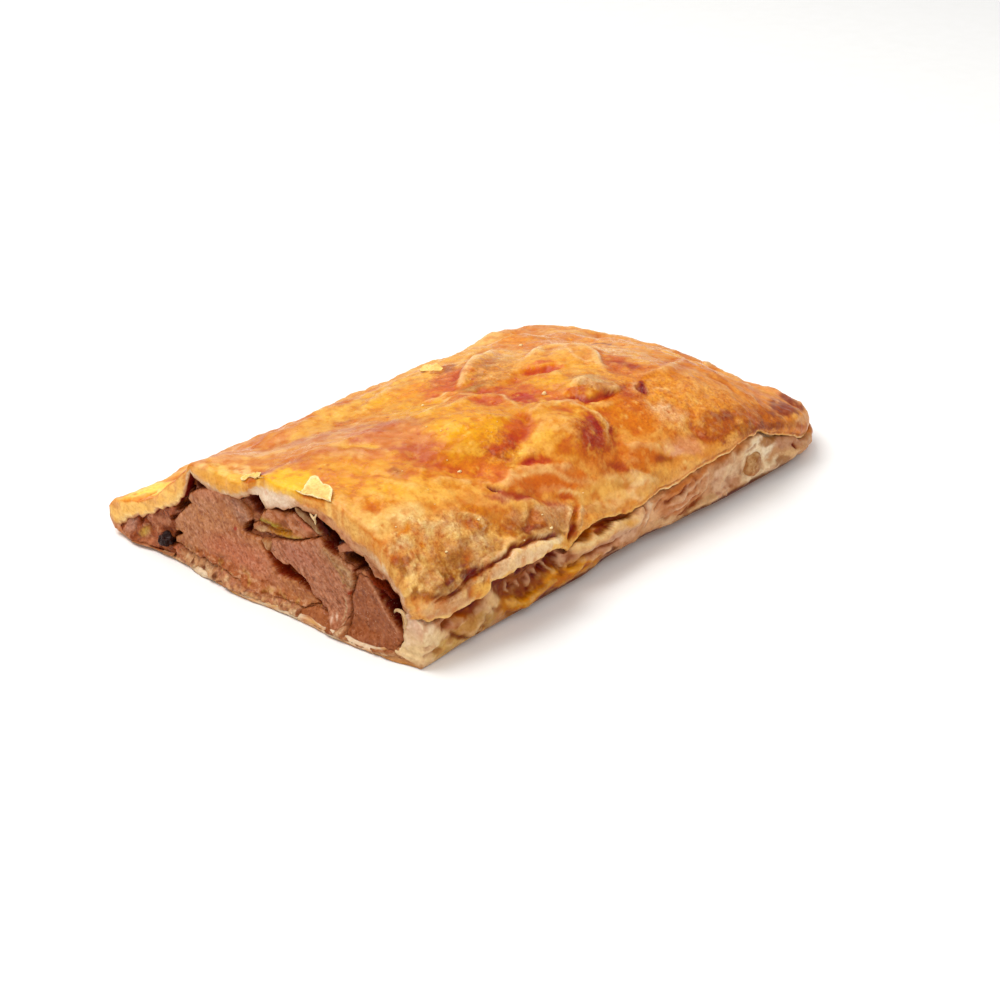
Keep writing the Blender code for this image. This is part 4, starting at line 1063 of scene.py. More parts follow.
    # flaps under the seam; the dark brown just above the seam is painted shade under the overhanging shoulder, the dark
    # line in the seam painted shade in the crease
    seam = [(434, 604), (446, 597), (455, 590), (463, 583.5), (473, 574.5), (481, 570), (492, 563.5), (506, 555), (516, 546.5), (531, 540), (546, 537), (559, 537)]
    above = c.ridge(seam, 2.6, 0.4, 0.08)
    c.coat((206, 152, 100), above * clamp(0.75 + 0.5 * small), 0.6)
    c.coat((122, 62, 22), P(459, 578, 17, 8, -34, 2), 0.8)
    c.coat((150, 92, 46), P(440, 590, 12, 6, -34, 2), 0.5)
    c.coat((216, 162, 116), P(452, 602, 34, 14, -32, 3), 0.9)
    c.coat((184, 124, 84), P(450, 600, 26, 6, -32), 0.6)
    c.coat((190, 118, 70), c.bump(470, 590, 2.0, 3.0, 20), 0.8)
    c.coat((240, 180, 92), P(482, 588, 12, 6, -34, 2), 0.8)
    c.coat((236, 194, 146), P(520, 558, 40, 12, -26, 3), 0.95)
    c.coat((210, 156, 110), P(508, 561, 22, 5, -28, 2), 0.5)
    c.coat((252, 220, 168), P(546, 543, 20, 6, -12, 2), 0.9)
    # painted shade in the seam crease and in the groove below it
    c.coat((92, 44, 20), c.line(seam, 0.55, 0.06), 0.9)
    c.coat((110, 56, 20), c.line([(572, 522), (570.5, 539)], 0.7, 0.1), 0.7)
    # touch-ups of tone; the dark line from (433, 597) to (480, 568) is painted shade under the overhanging shoulder
    for col, m, k in (((176, 82, 20), P(592, 436, 20, 17, 20, 2), 0.6), ((204, 152, 98), P(482, 549, 20, 13, -28, 2), 0.65),
                      ((190, 130, 70), P(458, 566, 36, 20, -20, 2), 0.4), ((188, 110, 52), P(505, 520, 26, 14, -10, 2), 0.5),
                      ((146, 84, 42), P(530, 531, 20, 8, -20, 2), 0.5), ((248, 198, 116), P(362, 516, 26, 12, 20, 2), 0.65),
                      ((192, 106, 42), P(590, 392, 18, 8, 0, 2), 0.5), ((188, 98, 48), P(632, 392, 16, 11, 0, 2), 0.55),
                      ((190, 96, 48), P(612, 470, 18, 10, 0, 2), 0.6), ((244, 156, 56), P(412, 390, 16, 8, -24, 2), 0.6),
                      ((156, 86, 44), P(750, 430, 20, 10, -20, 2), 0.6), ((150, 76, 28), P(573, 528, 7, 10, 0, 2), 0.6),
                      ((210, 144, 80), P(382, 572, 14, 18, -30, 2), 0.5), ((226, 168, 100), P(428, 574, 14, 16, 0, 2), 0.5),
                      ((248, 204, 132), P(405, 514, 22, 12, 0, 2), 0.8), ((246, 196, 118), P(372, 528, 18, 12, 10, 2), 0.6), ((244, 190, 104), P(470, 450, 22, 8, -4, 2), 0.6),
                      ((206, 140, 76), P(640, 480, 34, 10, -10, 2), 0.7), ((222, 160, 100), P(548, 520, 34, 9, -6, 2), 0.5),
                      ((228, 128, 66), P(528, 463, 18, 6, -4, 2), 0.6), ((240, 198, 148), P(527, 554, 24, 8, -26, 2), 0.7),
                      ((226, 158, 84), P(440, 548, 14, 10, 0, 2), 0.6), ((250, 196, 92), P(150, 500, 34, 14, -24, 2), 0.6),
                      ((248, 196, 152), P(806, 424, 8, 12, 20, 2), 0.8),
                      ((248, 204, 146), P(640, 492, 16, 11, -20, 2), 0.75), ((246, 192, 124), P(618, 499, 30, 8, -20, 2), 0.5),
                      ((222, 172, 120), P(437, 606, 16, 9, -34, 2), 0.85), ((218, 164, 112), P(458, 604, 14, 7, -34, 2), 0.7),
                      ((106, 48, 12), c.line([(433, 597), (446, 588), (460, 580), (472, 572.5), (480, 568)], 2.0, 0.15), 0.85),
                      ((150, 84, 34), P(454, 577, 18, 7, -34, 2), 0.6), ((200, 134, 66), P(430, 568, 12, 10, 0, 2), 0.5),
                      ((184, 122, 64), P(491, 553, 14, 8, -28, 2), 0.55), ((182, 108, 50), P(510, 529, 16, 9, -14, 2), 0.6),
                      ((150, 82, 32), P(529, 533, 16, 6, -20, 2), 0.7), ((210, 122, 44), P(470, 511, 20, 7, 4, 2), 0.6),
                      ((216, 126, 52), P(560, 409, 26, 6, 8, 2), 0.6), ((202, 108, 44), P(570, 450, 15, 10, 0, 2), 0.6),
                      ((216, 116, 34), P(528, 434, 8, 12, 10, 2), 0.5), ((250, 204, 128), P(334, 513, 16, 7, 36, 2), 0.7),
                      ((206, 140, 74), P(600, 509, 14, 5, -14, 2), 0.6), ((222, 132, 58), P(510, 468, 18, 6, -6, 2), 0.5),
                      ((236, 164, 76), P(392, 508, 16, 7, 0, 2), 0.4), ((250, 202, 134), P(350, 448, 22, 8, -10, 2), 0.55),
                      ((248, 196, 140), P(350, 431, 20, 6, -14, 2), 0.5), ((248, 200, 142), P(266, 450, 22, 6, -10, 2), 0.5),
                      ((246, 196, 136), P(192, 469, 14, 6, -10, 2), 0.5), ((242, 200, 150), P(350, 530, 12, 9, 40, 2), 0.6),
                      ((238, 168, 108), P(550, 489, 20, 5, 0, 2), 0.5), ((238, 184, 124), P(428, 609, 12, 9, -34, 2), 0.6),
                      ((150, 82, 58), P(790, 408, 12, 7, 20, 2), 0.45), ((116, 54, 18), P(461, 579, 13, 6, -34, 2), 0.6), ((226, 152, 78), P(590, 351, 30, 7, 4, 2), 0.5), ((246, 184, 116), P(684, 476, 16, 6, -30, 2), 0.6),
                      ((216, 142, 64), P(650, 492, 14, 6, -26, 2), 0.5), ((240, 160, 70), P(566, 392, 14, 5, 0, 2), 0.3)):
        c.coat(col, m, k)
    # dark spots just above the seam at (440, 575) and (460, 575): painted shade under the overhanging shoulder
    c.coat((136, 80, 32), P(440, 575, 6, 4, 0, 2), 0.6)
    c.coat((108, 54, 20), P(460, 575, 6, 3.5, 0, 2), 0.6)
    c.coat((206, 146, 92), P(460, 586, 6, 3.5, 0, 2), 0.6)
    c.coat((186, 112, 52), P(420, 581, 8, 4, 0, 2), 0.5)
    c.coat((200, 110, 50), P(600, 525, 6, 4, 0, 2), 0.6)
    c.coat((212, 118, 34), P(510, 470, 7, 4, 0, 2), 0.5)
    c.coat((186, 130, 76), P(500, 600, 7, 3.5, -20, 2), 0.5)
    c.coat((255, 222, 156), P(244, 470, 14, 3, 10, 2), 0.6)
    c.coat((252, 206, 150), P(184, 474, 12, 3, -40, 2), 0.55)
    c.coat((255, 222, 120), P(290, 490, 12, 5, 10, 2), 0.45)
    c.coat((240, 170, 118), P(776, 400, 5, 4, 20, 2), 0.5)
    c.coat((206, 118, 94), P(790, 400, 5, 4, 40, 2), 0.5)
    c.coat((186, 116, 66), P(796, 425, 8, 5, -20, 2), 0.6)
    # thin lit edge of the crust all along
    edge = smooth(5.0, 0.0, np.abs(cols - N_TURN - 1.0)) * smooth(-3.0, -1.0, cols - N_TURN)
    c.coat((248, 206, 130), edge * (0.6 + 0.4 * small), 0.85)
    # wing beside the cut
    c.coat((255, 208, 100), P(148, 500, 42, 22, -24, 2), 0.9)
    c.coat((236, 160, 70), P(128, 508, 10, 6, -30), 0.7)
    c.coat((252, 214, 150), P(160, 510, 20, 6, -30), 0.6)
    c.coat((226, 140, 66), c.line([(120, 512), (130, 507), (140, 503)], 1.0) + c.line([(138, 514), (147, 503), (156, 492)], 1.0), 0.6)
    c.coat((150, 90, 78), P(206, 452, 26, 2.5, -16, 2), 0.2)
    # painted light and shade from the relief: a painted highlight on the ridges, painted shade in the hollows
    relief_light_shade = relief - (np.roll(relief, 6, 1) + np.roll(relief, -6, 1) + np.roll(relief, 6, 0) + np.roll(relief, -6, 0)) / 4.0
    c.coat((250, 208, 146), smooth(0.08, 0.8, relief_light_shade), 0.45)
    c.coat((190, 88, 36), smooth(0.08, 0.8, -relief_light_shade), 0.45)
    # smaller strokes: streaks, lit rims, dark strokes; those in the creases below and between the bulges are painted
    # shade
    for pts, col, w, k in (
            ([(403, 423), (428, 411), (451, 398), (472, 395.5), (495, 395.5), (514, 404), (522, 412)], (250, 206, 150), 0.8, 0.7),
            ([(543, 411), (564, 404), (587, 410), (604, 423), (608, 442)], (250, 206, 150), 0.8, 0.7),
            ([(456, 362), (470, 361), (487, 354), (502, 355), (514, 360)], (250, 206, 160), 0.9, 0.55),
            ([(522, 363), (539, 352), (560, 348.5), (571, 354), (596, 364), (610, 366)], (250, 206, 160), 0.8, 0.55),
            ([(499, 486), (518, 477), (544, 471), (571, 482), (606, 484)], (246, 190, 120), 1.0, 0.8),
            ([(510, 471), (522, 452), (533, 437), (545, 430)], (252, 204, 110), 1.6, 0.6),
            ([(476, 446), (492, 452), (506, 446), (516, 430)], (190, 86, 34), 1.6, 0.6),
            ([(486, 452), (500, 458), (512, 460)], (150, 70, 30), 0.8, 0.5),
            ([(520, 464), (530, 460), (543, 460)], (176, 74, 50), 1.5, 0.7),
            ([(505, 492), (516, 497), (530, 499), (548, 503), (566, 505)], (170, 74, 56), 1.2, 0.6),
            ([(556, 497), (566, 496), (576, 499)], (214, 110, 20), 0.7, 0.9),
            ([(555, 493), (566, 491), (580, 494), (584, 500)], (248, 200, 130), 0.6, 0.8),
            ([(388, 470), (396, 476), (406, 480)], (190, 110, 90), 1.0, 0.5),
            ([(395, 482), (420, 477), (450, 474), (476, 478)], (240, 170, 90), 1.0, 0.6),
            ([(470, 350), (500, 340), (530, 337), (560, 339)], (214, 130, 76), 1.1, 0.6),
            ([(590, 345), (602, 344), (612, 347)], (150, 90, 76), 0.8, 0.7),
            ([(612, 360), (628, 366), (644, 366)], (170, 76, 56), 2.2, 0.7),
            ([(426, 404), (440, 398), (452, 392)], (252, 214, 160), 0.7, 0.7),
            ([(420, 408), (436, 406), (450, 404)], (206, 110, 60), 1.0, 0.5),
            ([(634, 470), (650, 478), (662, 482)], (250, 204, 140), 1.0, 0.5),
            ([(654, 462), (664, 458), (676, 462)], (150, 76, 36), 1.2, 0.6),
            ([(690, 436), (704, 440), (716, 438)], (160, 84, 40), 1.4, 0.5),
            ([(644, 398), (654, 408), (668, 414)], (250, 206, 150), 0.8, 0.6),
            ([(700, 372), (716, 378), (730, 388)], (196, 110, 60), 1.2, 0.5),
            ([(300, 470), (330, 462), (360, 462), (390, 468)], (236, 150, 70), 1.3, 0.5),
            ([(270, 462), (310, 462), (350, 458)], (206, 128, 84), 1.2, 0.5),
            ([(330, 424), (344, 422), (356, 418)], (176, 106, 84), 0.8, 0.5),
            ([(346, 410), (360, 406), (380, 396)], (216, 140, 90), 1.2, 0.5),
            ([(196, 470), (214, 474), (230, 479), (246, 480)], (226, 150, 60), 0.8, 0.6)):
        c.coat(col, c.line(pts, w), k)
    dist, pick = cells(p, 3.0, 181)
    spots_ = smooth(0.34, 0.12, dist) * c.seen * region_flat(p, y)
    c.coat((190, 90, 40), spots_ * (pick > 0.72), 0.55)
    c.coat((252, 214, 140), spots_ * (pick < 0.25), 0.5)
    # long streaks of the glaze, along the roll; the pinkish ones are partly the glaze's colour and partly a painted
    # reflection
    for pts, col, w, k in (
            ([(452, 417), (420, 421), (380, 424), (350, 429), (318, 437), (290, 441), (262, 446)], (208, 142, 112), 3.0, 0.6),
            ([(448, 424), (424, 424), (396, 428), (362, 430), (336, 434)], (220, 150, 100), 2.2, 0.6),
            ([(335, 453), (350, 449), (366, 447), (382, 446)], (250, 192, 92), 2.6, 0.75),
            ([(364, 411), (378, 404), (390, 398), (400, 392)], (248, 182, 76), 2.4, 0.7),
            ([(288, 427), (306, 421), (326, 417), (348, 412)], (250, 194, 104), 2.2, 0.6),
            ([(279, 466), (302, 459), (329, 453), (356, 451), (387, 450)], (204, 126, 86), 1.8, 0.6),
            ([(304, 462), (330, 463), (362, 464)], (240, 166, 82), 1.6, 0.5),
            ([(240, 459), (256, 456), (274, 454)], (250, 196, 116), 2.0, 0.5),
            ([(240, 464), (256, 465), (274, 466)], (220, 150, 104), 1.6, 0.5),
            ([(191, 461), (200, 457.5)], (152, 94, 80), 0.9, 0.4),
            ([(336, 425.4), (342, 424.6), (347, 424)], (140, 82, 26), 0.6, 0.85),
            ([(396, 452), (412, 450), (428, 447), (440, 445)], (202, 116, 86), 3.6, 0.6),
            ([(390, 468), (397, 472), (403, 477)], (170, 106, 84), 1.3, 0.6),
            ([(300, 452), (322, 447), (344, 441), (360, 438)], (236, 168, 104), 1.6, 0.5),
            ([(250, 470), (262, 469), (278, 468)], (252, 202, 120), 1.0, 0.6)):
        c.coat(col, c.line(pts, w), k)
    # crisp broken edge of the yellow glaze
    c.coat((255, 196, 86), P(285, 480, 36, 8, 3, 4) * (c.frill > -0.5), 0.6)
    c.coat((236, 168, 96), c.line([(250, 483), (261, 475), (271, 471), (296, 468.6), (312, 471.5), (325, 471.5)], 0.6, 0.1), 0.6)
    # fine mottling everywhere
    c.coat((250, 196, 110), smooth(0.15, 0.8, small), 0.32)
    c.coat((206, 110, 50), smooth(0.15, 0.8, -small), 0.32)
    # underside of the lip and of the wing
    c.coat((206, 150, 106), smooth(J_UNDER - 3.0, J_UNDER + 3.0, cols), 0.9)
    c.coat((190, 110, 78), smooth(5.0, 2.0, cols), 0.9)
    # a little more contrast than the strokes alone give
    mean = np.array([226.0, 150.0, 78.0])
    c.colour = np.clip(mean + 1.17 * (c.colour - mean), 6.0, 255.0)
    c.colour = np.clip(c.colour - np.array([1.0, 4.0, 7.0]), 4.0, 255.0)
    # the slit in the top, and the thin torn lip along the seam, its edge painted pale as a highlight
    c.coat((150, 54, 10), c.line([(640, 381), (643, 388), (646, 395)], 1.3, 0.1), 0.95)
    c.coat((120, 34, 10), c.line([(641, 382), (643, 388), (645, 393)], 0.6, 0.1), 0.6)
    c.coat((216, 140, 96), c.line([(634, 378), (636, 388), (641, 396)], 0.8, 0.1), 0.5)
    lip = smooth(96.0, 112.0, X) * smooth(204.0, 196.0, X)
    # more touch-ups; the dark spots at (440, 575) and (460, 575) are painted shade under the overhanging shoulder
    for px, py, rx, ry, turn_, col, k in (
            (804, 429, 5, 8, 0, (178, 86, 32), 0.75), (772, 424, 14, 5, -10, (140, 70, 38), 0.7),
            (790, 411, 8, 6, 30, (176, 92, 60), 0.5), (806, 419, 4, 5, 0, (200, 126, 64), 0.5),
            (440, 575, 6, 4, 0, (132, 76, 30), 0.6), (460, 575, 6, 3.5, 0, (104, 52, 18), 0.6),
            (500, 600, 6, 3, -20, (200, 144, 88), 0.5), (600, 525, 6, 4, 0, (206, 120, 56), 0.6),
            (577, 392, 10, 4, -10, (190, 90, 20), 0.55), (600, 389, 8, 4, 0, (186, 104, 50), 0.45),
            (560, 388, 7, 4, 0, (206, 124, 64), 0.5), (480, 381, 8, 4, 0, (180, 110, 60), 0.55),
            (586, 430, 9, 8, 0, (206, 110, 40), 0.4),
            (460, 586, 5, 3, 0, (216, 154, 100), 0.5)):
        c.coat(col, c.patch(px, py, rx, ry, turn_, 2), k * (0.8 + 0.5 * small))
    # painted highlight on the lip's lit edge
    c.coat((246, 190, 116), lip * np.exp(-((cols - N_TURN - 1.0) / 2.0) ** 2), 0.85)
    c.coat((252, 220, 164), lip * np.exp(-((cols - N_TURN - 1.0) / 1.6) ** 2) * smooth(-0.1, 0.35, mid), 0.8)
    c.coat((214, 112, 44), lip * np.exp(-((cols - N_TURN - 4.5) / 1.6) ** 2), 0.6)
    c.coat((156, 88, 44), lip * np.exp(-((cols - N_TURN - 6.0 - 1.5 * small) / 1.5) ** 2) * smooth(-0.5, 0.3, mid), 0.7)
    gloss = 0.45 + 0.45 * smooth(22.0, 40.0, y) * smooth(110.0, 100.0, y) - 0.35 * shoulder - 0.2 * P(594, 383, 26, 7, 4)
    grainy = P(592, 436, 26, 22, 10) + P(680, 400, 90, 32, 14) + P(492, 374, 30, 18, -24) + P(600, 384, 30, 9, 4)
    grainy = grainy + P(440, 378, 26, 12, -16) + P(540, 520, 60, 16, -8) + P(500, 450, 24, 20, 0) + P(730, 420, 60, 22, 10)
    grit = 0.22 + 0.34 * clamp(grainy) + 0.36 * shoulder
    grit = grit - 0.16 * P(320, 455, 130, 34, -8, 2) - 0.1 * P(620, 492, 40, 14, -8, 2)
    return clamp(gloss), clamp(grit)


gloss, grit = paint_crust(C, V, X, COLS, RELIEF)
n_inner = N_INNER
cut_pts = FULL[:N_CUT]
k = np.arange(N_CUT)[:, None]
cut_col = np.zeros(cut_pts.shape)
u = clamp((k - n_inner) / (N_CUT - n_inner - 1.0)) + 0.0 * cut_pts[..., 0]
layer = fbm(np.stack([cut_pts[..., 1] * 0.3, cut_pts[..., 2] * 1.5, cut_pts[..., 0]], -1), 1.8, 3, 51)
blot = fbm(cut_pts, 5.0, 3, 53)
fine = fbm(cut_pts, 1.7, 3, 55)
cut_pix = pixel(cut_pts)
shape = cut_pts.shape


def lerp(a, b, m):
    return a + (np.asarray(b, float) - a) * clamp(m)[..., None]


band = np.broadcast_to(np.array([222.0, 174.0, 130.0]), shape).copy()
band = lerp(band, (208, 146, 108), smooth(0.0, 0.8, blot) * 0.8)
band = lerp(band, (244, 216, 172), smooth(0.0, 0.7, layer) * 0.6)
band = lerp(band, (176, 104, 62), smooth(0.2, 0.9, -layer) * 0.6)
band = lerp(band, (150, 78, 44), smooth(0.25, 0.0, u) * 0.5)
white = blob(cut_pix, 274, 496, 24, 12, 16, 3)
band = lerp(band, (250, 222, 190), white * 0.9)
band = lerp(band, (222, 164, 124), white * smooth(0.2, 0.7, fine) * 0.5)
red_rim = blob(cut_pix, 332, 526, 44, 12, 46, 2)
band = lerp(band, (214, 146, 96), red_rim * 0.75)
band = lerp(band, (176, 96, 60), red_rim * smooth(0.0, 0.6, fine) * 0.7)
band = lerp(band, (166, 86, 42), blob(cut_pix, 374, 573, 17, 8, 50, 2) * 0.6)
# the outer sheet rolls over the edge, thin along the top, whole on the wing
wing = smooth(102.0, 106.0, cut_pts[..., 1])
fold = blob(cut_pix, 222, 482, 34, 12, 20, 2)
start = 0.50 + 0.30 * white - 0.12 * fold + 0.14 * fine - 0.42 * wing
skin = np.broadcast_to(C.colour[0][None], shape).copy()
skin = lerp(skin, (250, 200, 112), 0.35 + 0.35 * fine)
skin = lerp(skin, (250, 198, 108), wing * 0.85)
skin = lerp(skin, (252, 216, 146), wing * smooth(0.42, 0.12, u + 0.15 * fine) * 0.8)
creases = ridged(cut_pts, 7.0, 3, 57, (1.0, 1.0, 0.25))
skin = lerp(skin, (214, 140, 76), wing * smooth(0.35, 0.8, creases) * smooth(0.35, 0.7, u) * 0.8)
skin = lerp(skin, (190, 118, 60), wing * smooth(0.3, 0.8, -blot) * 0.5)
skin = lerp(skin, (243, 168, 70), fold * 0.7)
band = lerp(band, skin, smooth(start - 0.06, start + 0.10, u))
# under the wing's tip the band is painted darker brown
jcol = np.arange(shape[1])[None, :] + 0.0 * u
under = smooth(J_TIP + 4.0, J_TIP + 9.0, jcol + 1.2 * fine)
band = lerp(band, (180, 112, 74), under * 0.95)
band = lerp(band, (214, 156, 122), under * smooth(0.0, 0.6, fine) * 0.8)
band = lerp(band, (136, 76, 42), under * smooth(0.0, 0.7, blot) * 0.7)
# the skin turned in under the ceiling gets darker the deeper it goes: painted shade
deep = smooth(n_inner, n_inner - 9.0, k + 0.0 * cut_pts[..., 0])
inside_col = lerp(np.broadcast_to(np.array([130.0, 58.0, 30.0]), shape).copy(), (66, 12, 5), deep)
is_in = ((k < n_inner) + 0.0 * cut_pts[..., 0])[..., None]
cut_col = band * (1.0 - is_in) + inside_col * is_in
tint = np.concatenate([cut_col, C.colour], 0)
gl = np.concatenate([np.full(cut_pts.shape[:2], 0.35), gloss], 0)
gr = np.concatenate([np.full(cut_pts.shape[:2], 0.3), grit], 0)
crust = mesh_object("crust", FULL.reshape(-1, 3), grid_quads(*FULL.shape[:2]))
full_pix = pixel(FULL)
sheen = blob(full_pix, 400, 440, 230, 60, -12, 2) + 0.9 * blob(full_pix, 292, 482, 44, 14, 4, 2)
sheen = (0.03 + 0.042 * clamp(sheen, 0.0, 1.5) * smooth(N_CUT - 1.0, N_CUT + 3.0, np.arange(FULL.shape[0]))[:, None]).reshape(-1, 1)
pale = (1.13 - 0.16 * blob(full_pix, 150, 502, 48, 24, -24, 2)).reshape(-1, 1)
dress(crust, tint, gl, gr, crust_material(), ("pastry",), gain=pale, haze=sheen)

# ---------------------------------------------------------------------------
# Base: the near side under the crust's lip, and the flat bottom
# ---------------------------------------------------------------------------
def spline(ys, zs, t):
    """Smooth curve through knots (lists of columns), at t from 0 to 1."""
    n = len(ys) - 1
    u = t * n
    i = np.minimum(u.astype(int), n - 1)
    f = u - i

    def pick(a, k):
        return np.take_along_axis(a, np.clip(k, 0, n) + np.zeros(a.shape[:1] + (1,), int), 1)

    out = []
    for a in (np.stack(ys, 1), np.stack(zs, 1)):
        ii = np.broadcast_to(i, (a.shape[0], t.shape[-1]))
        p0, p1, p2, p3 = (np.take_along_axis(a, np.clip(ii + k, 0, n), 1) for k in (-1, 0, 1, 2))
        out.append(p1 + 0.5 * f * (p2 - p0 + f * (2 * p0 - 5 * p1 + 4 * p2 - p3 + f * (3 * (p1 - p2) + p3 - p0))))
    return out


N_WALL, N_BOT = 84, 34


def base_relief(s, wall):
    """Relief of the near side, outwards, in mm."""
    p = s.p
    d = 0.45 * fbm(p, 9.0, 3, 131) + 0.25 * fbm(p, 3.0, 3, 137) + 0.14 * fbm(p, 1.3, 2, 139)
    # torn dough under the first flap, and the smooth bulge below it
    d -= 2.4 * s.line([(441, 627), (455, 618), (468, 610), (482, 601)], 2.0, 0.1)
    d += 1.5 * s.bump(476, 623, 7.5, 2.6, 4) + 0.8 * s.bump(455, 626, 3.5, 2.0)
    d -= 1.0 * s.line([(448, 631), (455, 638), (473, 636.5), (488, 628)], 0.8)
    d += 0.9 * s.line([(418, 649), (428, 650), (441, 642)], 1.0) - 0.7 * s.line([(420, 653), (430, 655), (443, 647)], 1.0)
    d += 1.6 * s.bump(495, 601, 3.0, 3.2, 0) - 0.9 * s.line([(487, 600), (491, 608), (497, 612)], 0.8)
    # the hollow under the second flap, with folds and holes, over a firm strip
    hollow = s.line([(492, 590), (510, 590), (530, 577), (548, 566), (562, 557)], 4.6, 0.12)
    d -= 3.0 * hollow
    for pts in ([(520, 578), (524, 590)], [(529, 572), (533, 586)], [(538, 568), (541, 580)], [(548, 562), (552, 574)],
                [(508, 583), (512, 597)], [(558, 556), (562, 568)]):
        d += 1.3 * s.line(pts, 0.8, 0.3)
    for x, y, r in ((497, 584, 1.6), (519, 570, 1.2), (539, 578, 1.3), (556, 558, 1.5), (531, 590, 1.0), (547, 571, 1.0)):
        d -= 1.6 * s.bump(x, y, r)
    d += 1.7 * s.line([(498, 611), (515, 603), (540, 589), (565, 573), (590, 559), (602, 553)], 2.2, 0.12)
    d -= 0.8 * s.line([(500, 601), (520, 597), (545, 582), (570, 565), (596, 549)], 0.8, 0.1)
    # the groove, and the rim under it
    d -= 1.6 * s.line([(573, 541), (583, 532), (594, 526), (608, 520), (632, 515)], 1.6, 0.1)
    d += 3.0 * s.ridge([(569, 549), (577, 543), (585, 541), (596, 538), (606, 531), (618, 522), (634, 514), (644, 507)], 0.8, 4.5, 0.06)
    d -= 1.0 * s.line([(575, 556), (590, 551), (606, 545), (622, 534)], 0.8)
    d += 0.8 * s.line([(585, 560), (600, 554), (615, 545)], 0.9)
    # vertical fold, and the wrinkled dough after it
    d += 1.1 * s.line([(648, 498), (646, 512), (644, 528)], 1.0)
    d -= 0.8 * s.line([(643, 500), (641, 514), (640, 527)], 0.9)
    for pts, h in (([(660, 506), (672, 500), (684, 490), (696, 480)], -1.0), ([(662, 515), (676, 509), (690, 497), (704, 484)], 1.0),
                   ([(668, 520), (684, 513), (698, 503), (706, 491)], -1.1), ([(680, 478), (688, 484), (684, 494), (676, 502)], 0.9),
                   ([(690, 474), (697, 480), (694, 490)], -0.9), ([(702, 468), (708, 474), (706, 486), (698, 496)], 0.8),
                   ([(650, 512), (656, 506), (664, 498)], -0.7), ([(700, 510), (712, 500), (724, 489)], 0.7)):
        d += h * s.line(pts, 0.8, 0.3)
    d += 1.1 * s.line([(732, 452), (728, 466), (722, 480), (718, 492)], 1.8, 0.2)
    d += 0.9 * s.line([(724, 488), (725, 497), (727, 503)], 0.8, 0.3)
    # the frame of pale dough round the lump
    d += 1.0 * s.line([(738, 462), (744, 448), (754, 440), (766, 438)], 1.4, 0.15)
    d -= 1.2 * s.bump(751, 466, 4.0, 4.6)
    d += 0.7 * s.line([(738, 482), (752, 477), (768, 466), (784, 456)], 1.2, 0.2)
    d -= 1.0 * s.bump(795, 447, 1.0)
    d += 0.8 * s.line([(776, 436), (786, 440), (796, 438)], 1.6, 0.2)
    d += 0.8 * s.line([(804, 414), (808, 424), (806, 436)], 1.2, 0.2)
    return d * wall


